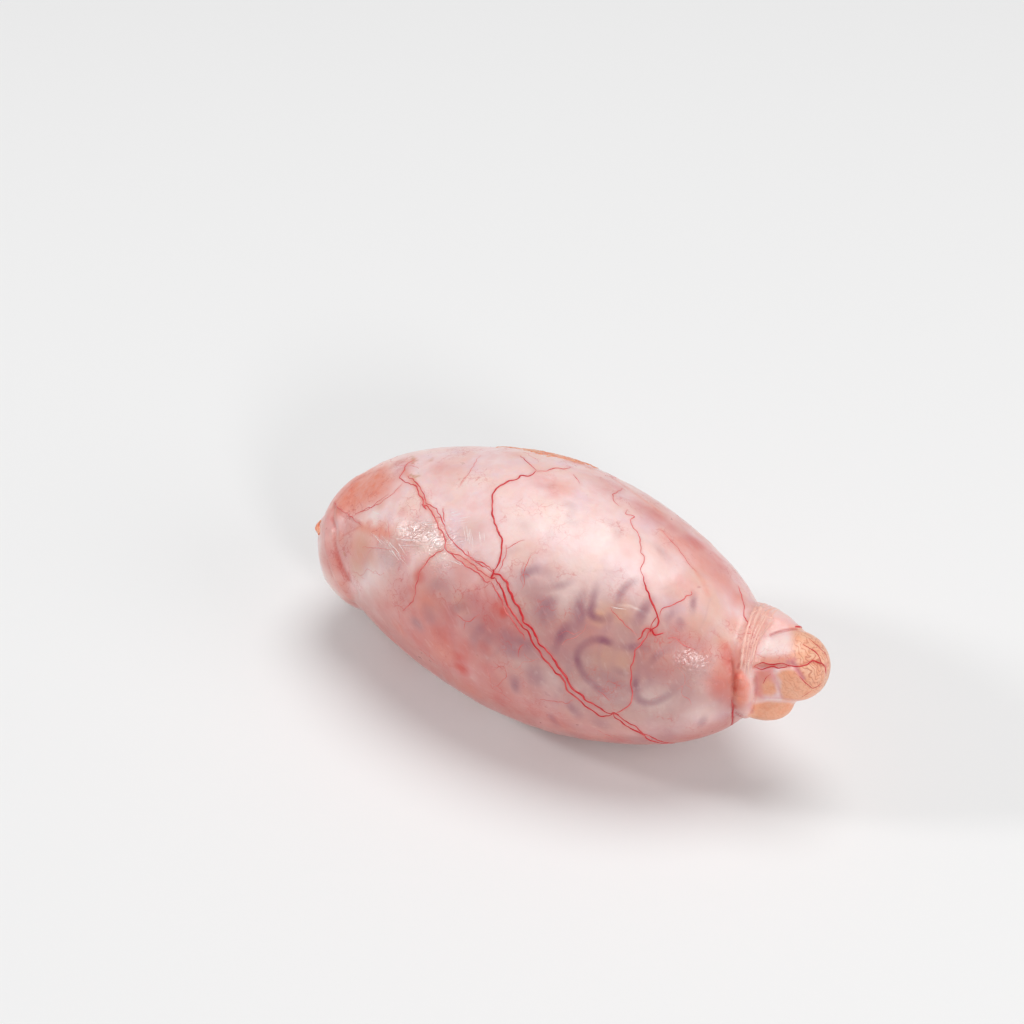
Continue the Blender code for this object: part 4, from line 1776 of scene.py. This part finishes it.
# Where each hidden trunk starts, its first direction and its length, in millimetres
HIDDEN_TRUNKS: tuple[tuple[Vector, Vector, float], ...] = (
    (Vector((-34, 20, 34)), Vector((1.0, -0.1, 0.05)), 62),
    (Vector((-30, 22, 20)), Vector((1.0, 0.1, -0.2)), 58),
    (Vector((30, 15, 38)), Vector((-1.0, 0.5, -0.2)), 44),
    (Vector((-36, -6, 8)), Vector((1.0, -0.3, 0.0)), 40),
    (Vector((36, 8, 14)), Vector((-1.0, 0.2, -0.1)), 46),
    (Vector((-44, 8, 22)), Vector((0.4, 0.9, 0.2)), 30),
)


@dataclass
class Vessels:
    """The blood vessels: the trunks and branches that the picture shows, and others on the hidden sides.

    Lengths and half widths are drawn from spans in millimetres, and angles and turns are in radians.
    """

    surface: Surface
    seed: int = 5
    least_trunk: int = 24
    trunk_turn: float = 0.07
    trunk_girth: Span = (0.15, 0.22)
    twin_chance: float = 0.6
    twin_from: int = 4
    twin_gap: float = 0.8 * MM
    twin_share: float = 0.8
    twin_girth: Span = (0.11, 0.16)
    branches: int = 5
    branch_margin: int = 8
    branch_turn: float = 0.12
    branch_angle: Span = (0.6, 1.2)
    branch_length: Span = (6, 15)
    branch_girth: Span = (0.06, 0.11)
    fine_count: int = 40
    fine_turn: float = 0.17
    fine_length: Span = (4, 11)
    fine_girth: Span = (0.035, 0.06)
    twigs: int = 2
    twig_turn: float = 0.22
    twig_angle: Span = (0.5, 1.1)
    twig_length: Span = (2, 5)
    twig_girth: Span = (0.03, 0.045)

    def build(self) -> list[bpy.types.Object]:
        """Makes the vessels.

        Returns:
            The trunks, the pale trunks, the branches, the finest ones and the vessels of the tail.
        """
        trunks, pale = Strands("vessel_trunks"), Strands("pale_vessel_trunks")
        branches, fine = Strands("vessel_branches"), Strands("finest_vessels")
        tail = Strands("tail_vessels", wave=0.2 * MM)
        shown = ((trunks, TRUNKS), (pale, PALE_TRUNKS), (branches, BRANCHES), (tail, TAIL_VESSELS))
        for bundle, routes in shown:
            for route in routes:
                bundle.lay(self.surface.line(route, VESSEL_STEP), route.width * MM)
        self.grow_hidden(trunks, branches)
        self.grow_fine(fine)
        return [bundle.build(self.surface) for bundle in (trunks, pale, branches, fine, tail)]

    def grow_fine(self, fine: Strands) -> None:
        """Grows the finest vessels all over.

        Args:
            fine: takes them.
        """
        draw = random.Random(self.seed + 1)
        middle = self.surface.viewpoint.middle
        for _ in range(self.fine_count):
            way = Vector((draw.uniform(-1, 1), draw.uniform(-1, 1), draw.uniform(-1, 1))).normalized()
            start = middle + way * HALF_SIZE * MM
            heading = Vector((draw.uniform(-1, 1), draw.uniform(-1, 1), draw.uniform(-1, 1)))
            length = draw.uniform(*self.fine_length) * MM
            stem = self.surface.walk(start, heading, length, VESSEL_STEP, self.fine_turn, draw)
            fine.lay(stem, draw.uniform(*self.fine_girth) * MM)
            for _ in range(self.twigs):
                at = draw.randrange(3, len(stem) - 2)
                angle = draw.choice((-1, 1)) * draw.uniform(*self.twig_angle)
                side = Quaternion(self.surface.nearest(stem[at])[1], angle)
                ahead = side @ (stem[at + 1] - stem[at - 1]).normalized()
                length = draw.uniform(*self.twig_length) * MM
                twig = self.surface.walk(stem[at], ahead, length, VESSEL_STEP, self.twig_turn, draw)
                fine.lay(twig, draw.uniform(*self.twig_girth) * MM)

    def grow_hidden(self, trunks: Strands, branches: Strands) -> None:
        """Grows vessels over the sides that the picture doesn't show.

        Args:
            trunks: takes the thick ones.
            branches: takes the thin ones.
        """
        draw = random.Random(self.seed)
        walk = self.surface.walk
        for start, heading, length in HIDDEN_TRUNKS:
            trunk = walk(start * MM, heading, length * MM, VESSEL_STEP, self.trunk_turn, draw, hidden=True)
            if len(trunk) < self.least_trunk:
                continue
            trunks.lay(trunk, draw.uniform(*self.trunk_girth) * MM)
            if draw.random() < self.twin_chance:
                beside = trunk[self.twin_from] + Vector((0, 0, self.twin_gap))
                reach = length * self.twin_share * MM
                twin = walk(beside, heading, reach, VESSEL_STEP, self.trunk_turn, draw, hidden=True)
                trunks.lay(twin, draw.uniform(*self.twin_girth) * MM)
            for _ in range(self.branches):
                at = draw.randrange(self.branch_margin, len(trunk) - self.branch_margin)
                ahead = (trunk[at + 1] - trunk[at - 1]).normalized()
                normal = self.surface.nearest(trunk[at])[1]
                angle = draw.choice((-1, 1)) * draw.uniform(*self.branch_angle)
                side = Quaternion(normal, angle) @ ahead
                reach = draw.uniform(*self.branch_length) * MM
                branch = walk(trunk[at], side, reach, VESSEL_STEP, self.branch_turn, draw, hidden=True)
                branches.lay(branch, draw.uniform(*self.branch_girth) * MM)


COLLAR_STRANDS = routes(
    (0.42, 1.0, 757, 605, 751, 618, 746, 634, 743.5, 648, 742, 660, 740.5, 669),
    (0.34, 1.0, 762, 608, 756, 621, 750.5, 636, 747.5, 650, 745.5, 663, 744.5, 673),
    (0.4, 1.0, 768, 614, 761, 626, 755, 639, 751.5, 652, 749, 664, 748, 674),
    (0.3, 1.0, 774, 621, 765, 631, 758, 641, 754.5, 653, 752, 666, 751, 673),
    (0.2, 1.0, 765, 611, 758, 624, 752.5, 638, 749, 652, 747, 665),
)


@dataclass
class Collar:
    """The fine strands of membrane round the neck, in millimetres from the oval's middle and radians."""

    surface: Surface
    viewpoint: Viewpoint
    along: float = 45.4
    across: float = 2.6
    up: float = 2.4
    half_across: float = 9.9
    half_up: float = 11.1
    slant: float = 1.8
    slant_from: float = 30.0
    count: int = 7
    first: float = -1.4
    spacing: float = 0.6
    start: float = -1.2
    turn: float = 2.9
    steps: int = 90
    drift: float = 0.35
    girth: float = 0.24
    girth_change: float = 0.08

    def build(self) -> bpy.types.Object:
        """Makes the strands: by the picture on the near side and as a slanting ring on the hidden side.

        Returns:
            One mesh of all strands.
        """
        strands = Strands("collar_strands", sunk=0.8, sides=3, wave=0.1 * MM, wave_length=4.0 * MM)
        for route in COLLAR_STRANDS:
            strands.lay(self.surface.line(route, PAINT_STEP), route.width * MM)
        for number in range(self.count):
            onwards = self.first + self.spacing * number
            line = []
            for step in range(self.steps + 1):
                turn = self.start + self.turn * step / self.steps
                drift = self.drift * math.sin(turn * 2 + number * 1.7)
                slant = self.slant * math.cos(turn - math.radians(self.slant_from))
                point = Vector(
                    (
                        self.along - slant + onwards + drift,
                        self.across + self.half_across * math.cos(turn),
                        self.up + self.half_up * math.sin(turn),
                    )
                )
                line.append(self.surface.nearest(self.viewpoint.middle + point * MM)[0])
            girth = self.girth + self.girth_change * math.sin(number * 1.3 + 1)
            strands.lay(smooth_line(line, 0.5 * MM), girth * MM)
        return strands.build(self.surface)


@dataclass
class FatStreak:
    """A strip of small fat lobules along the top far edge."""

    surface: Surface
    seed: int = 3
    route: Route = Route(
        ((496, 444), (508, 444.5), (524, 445.5), (541, 448), (556, 452), (566, 455), (577, 459), (588, 463.5),
         (600, 469)), 0.6
    )
    lobules: int = 250
    radius: Span = (0.3, 0.62)
    stretch: tuple[float, float, float, float] = (1.5, 1.0, 0.7, 1.0)
    sunk: float = 0.25
    fullest: float = 0.58
    narrowing: float = 0.3
    least_fullness: float = 0.25
    aside: Span = (-6.0, 1.0)
    voxel: float = 0.16 * MM
    smoothing: int = 4

    def build(self) -> bpy.types.Object:
        """Makes the strip.

        Returns:
            The strip of fat.
        """
        draw = random.Random(self.seed)
        line = self.surface.line(self.route, VESSEL_STEP)
        back = self.surface.viewpoint.axes()[2]
        bm = bmesh.new()
        for _ in range(self.lobules):
            share = draw.random()
            place = line[int(share * (len(line) - 1))]
            bulge = math.exp(-(((share - self.fullest) / self.narrowing) ** 2))
            fullness = bulge * (1 - self.least_fullness) + self.least_fullness
            aside = draw.uniform(*self.aside) * MM * fullness
            on, normal = self.surface.nearest(place - back * aside)
            radius = draw.uniform(*self.radius) * MM * (0.4 + 0.6 * fullness)
            facing = normal.to_track_quat("Z", "X").to_matrix().to_4x4()
            seat = Matrix.Translation(on - normal * radius * self.sunk)
            matrix = seat @ facing @ Matrix.Diagonal(self.stretch)
            bmesh.ops.create_icosphere(bm, subdivisions=2, radius=radius, matrix=matrix)
        mesh = bpy.data.meshes.new("fat_streak")
        bm.to_mesh(mesh)
        bm.free()
        streak = bpy.data.objects.new("fat_streak", mesh)
        bpy.context.scene.collection.objects.link(streak)
        apply_modifier(streak, "REMESH", {"mode": "VOXEL", "voxel_size": self.voxel})
        apply_modifier(streak, "SMOOTH", {"factor": 0.5, "iterations": self.smoothing})
        streak.data.shade_smooth()
        return streak


@dataclass(frozen=True)
class Creases:
    """A patch of fine creases, painted near-white as highlights: in the picture, the first one, the step to
    the next and their run.
    """

    first: Pixel
    step: Pixel
    run: Pixel
    count: int
    jitter: float = 3.0


CREASE_PATCHES: tuple[Creases, ...] = (
    Creases((398, 524), (0.5, 1.9), (20, 1.8), 13, 6.0),
    Creases((422, 523), (0.9, 2.3), (17, 0.6), 11, 5.0),
    Creases((370, 533), (2.7, 1.1), (12, 14), 10, 4.0),
    Creases((384, 547), (2.6, 1.4), (7, 9), 8, 3.0),
    Creases((462, 526), (2.6, 0.8), (1.5, 15), 9, 3.0),
    Creases((440, 556), (3.4, 1.4), (11, 5), 6, 3.0),
    Creases((448, 512), (2.2, 2.6), (12, -3), 6, 4.0),
    Creases((366, 506), (1.6, 2.4), (9, 2), 6, 2.0),
    Creases((612, 607), (0.6, 1.0), (24, 4), 2, 2.0),
)


@dataclass
class Wrinkles:
    """The fine creases that break up the light on the membrane: ridges that catch the lamps, coloured
    near-white as painted highlights.
    """

    surface: Surface
    seed: int = 8
    length: Span = (0.5, 1.1)
    unevenness: Span = (-0.3, 0.3)
    girth: Span = (0.03, 0.055)

    def build(self) -> bpy.types.Object:
        """Makes the creases.

        Returns:
            One mesh of all creases.
        """
        draw = random.Random(self.seed)
        creases = Strands("membrane_creases_painted_highlight", sunk=0.45, wave=0.3 * MM, wave_length=2.4 * MM)
        for patch in CREASE_PATCHES:
            for number in range(patch.count):
                x = patch.first[0] + patch.step[0] * number + draw.uniform(-1, 1) * patch.jitter
                y = patch.first[1] + patch.step[1] * number + draw.uniform(*self.unevenness) * patch.jitter
                length = draw.uniform(*self.length)
                end = (x + patch.run[0] * length, y + patch.run[1] * length + draw.uniform(-1, 1))
                route = Route(((x, y), ((x + end[0]) / 2, (y + end[1]) / 2), end), 0.0)
                creases.lay(self.surface.line(route, VESSEL_STEP), draw.uniform(*self.girth) * MM)
        return creases.build(self.surface)


HEAD_FAT = Route(((321, 521), (318.5, 527), (319.5, 534)), 0.8)
HEAD_FAT_STEP = 0.2 * MM


@dataclass(frozen=True)
class Lamp:
    """A soft round light that shines at the tissue from a place."""

    name: str
    place: tuple[float, float, float]
    size: float
    power: float

    def add(self, aim: Vector) -> None:
        """Puts the light in the scene, turned to what it lights.

        Args:
            aim: the place that it shines at.
        """
        data = bpy.data.lights.new(self.name, "AREA")
        data.shape = "DISK"
        data.size = self.size
        data.energy = self.power
        lamp = bpy.data.objects.new(self.name, data)
        bpy.context.scene.collection.objects.link(lamp)
        lamp.location = self.place
        lamp.rotation_mode = "QUATERNION"
        lamp.rotation_quaternion = (aim - lamp.location).to_track_quat("-Z", "Y")


@dataclass(frozen=True)
class Studio:
    """A pale floor, soft light and the camera."""

    viewpoint: Viewpoint
    floor_size: float = 6.0
    floor_tone: Colour = (0.86, 0.86, 0.86, 1.0)
    floor_roughness: float = 0.85
    sky_tone: Colour = (1.0, 1.0, 1.0, 1.0)
    sky: float = 0.26
    lamps: tuple[Lamp, ...] = (
        Lamp("key", (-0.79, -0.43, 0.52), 0.16, 2.4),
        Lamp("top", (0.0, 0.25, 1.1), 0.8, 7.0),
        Lamp("fill", (0.95, 0.1, 0.55), 0.6, 1.8),
        Lamp("glint", (0.74, -0.57, 0.47), 0.2, 2.6),
    )

    def build(self) -> None:
        """Sets up the floor, the light and the camera."""
        bpy.ops.mesh.primitive_plane_add(size=self.floor_size, location=(0, 0, 0))
        floor = bpy.context.view_layer.objects.active
        floor.name = floor.data.name = "floor"
        paint = bpy.data.materials.new("pale_floor")
        paint.use_nodes = True
        shader = paint.node_tree.nodes["Principled BSDF"]
        shader.inputs["Base Color"].default_value = self.floor_tone
        shader.inputs["Roughness"].default_value = self.floor_roughness
        floor.data.materials.append(paint)
        world = bpy.data.worlds.new("studio")
        world.use_nodes = True
        background = world.node_tree.nodes["Background"]
        background.inputs["Color"].default_value = self.sky_tone
        background.inputs["Strength"].default_value = self.sky
        bpy.context.scene.world = world
        for lamp in self.lamps:
            lamp.add(self.viewpoint.middle)
        self.viewpoint.add_camera()
        bpy.context.scene.view_settings.view_transform = "Standard"


def hand_over(piece: bpy.types.Object, finish: Bench) -> None:
    """Dresses a piece, puts it on the body and logs it.

    Args:
        piece: the finished piece.
        finish: the material that it gets.
    """
    finish.dress(piece)
    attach(piece, BODY)
    log.info("%s: %d faces", piece.name, len(piece.data.polygons))


def main() -> None:
    """Builds the tissue and what lies on it, then the studio."""
    logging.basicConfig(level=logging.INFO, format="%(name)s: %(message)s")
    noise.seed_set(NOISE_SEED)
    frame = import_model()
    viewpoint = Viewpoint()

    tissue = Tissue(viewpoint).build(frame)
    hand_over(tissue, Membrane().make())
    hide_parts(NODE)

    surface = Surface(tissue, viewpoint)
    blood = Blood().make()
    thin_blood = Blood("thin_vessel", colour(222, 76, 80), colour(236, 130, 126)).make()
    pale_blood = Blood("pale_vessel", colour(228, 100, 98), colour(242, 160, 154)).make()
    finishes = (blood, thin_blood, thin_blood, pale_blood, blood)
    for vessel, finish in zip(Vessels(surface).build(), finishes):
        hand_over(vessel, finish)

    hand_over(Collar(surface, viewpoint).build(), Sinew().make())
    # The creases on the head get near-white tones: painted highlights
    white = (colour(255, 246, 244), colour(252, 236, 232), colour(250, 226, 220))
    highlight_crease = Sinew("crease_painted_highlight", *white, Wet(roughness=0.2, share=0.0))
    hand_over(Wrinkles(surface).build(), highlight_crease.make())

    fat = Fat().make()
    nub = Strands("head_fat", sunk=0.1, sides=4, wave=0.05 * MM)
    nub.lay(surface.line(HEAD_FAT, HEAD_FAT_STEP), HEAD_FAT.width * MM)
    for piece in (FatStreak(surface).build(), nub.build(surface)):
        hand_over(piece, fat)

    Studio(viewpoint).build()


if __name__ == "__main__":
    main()
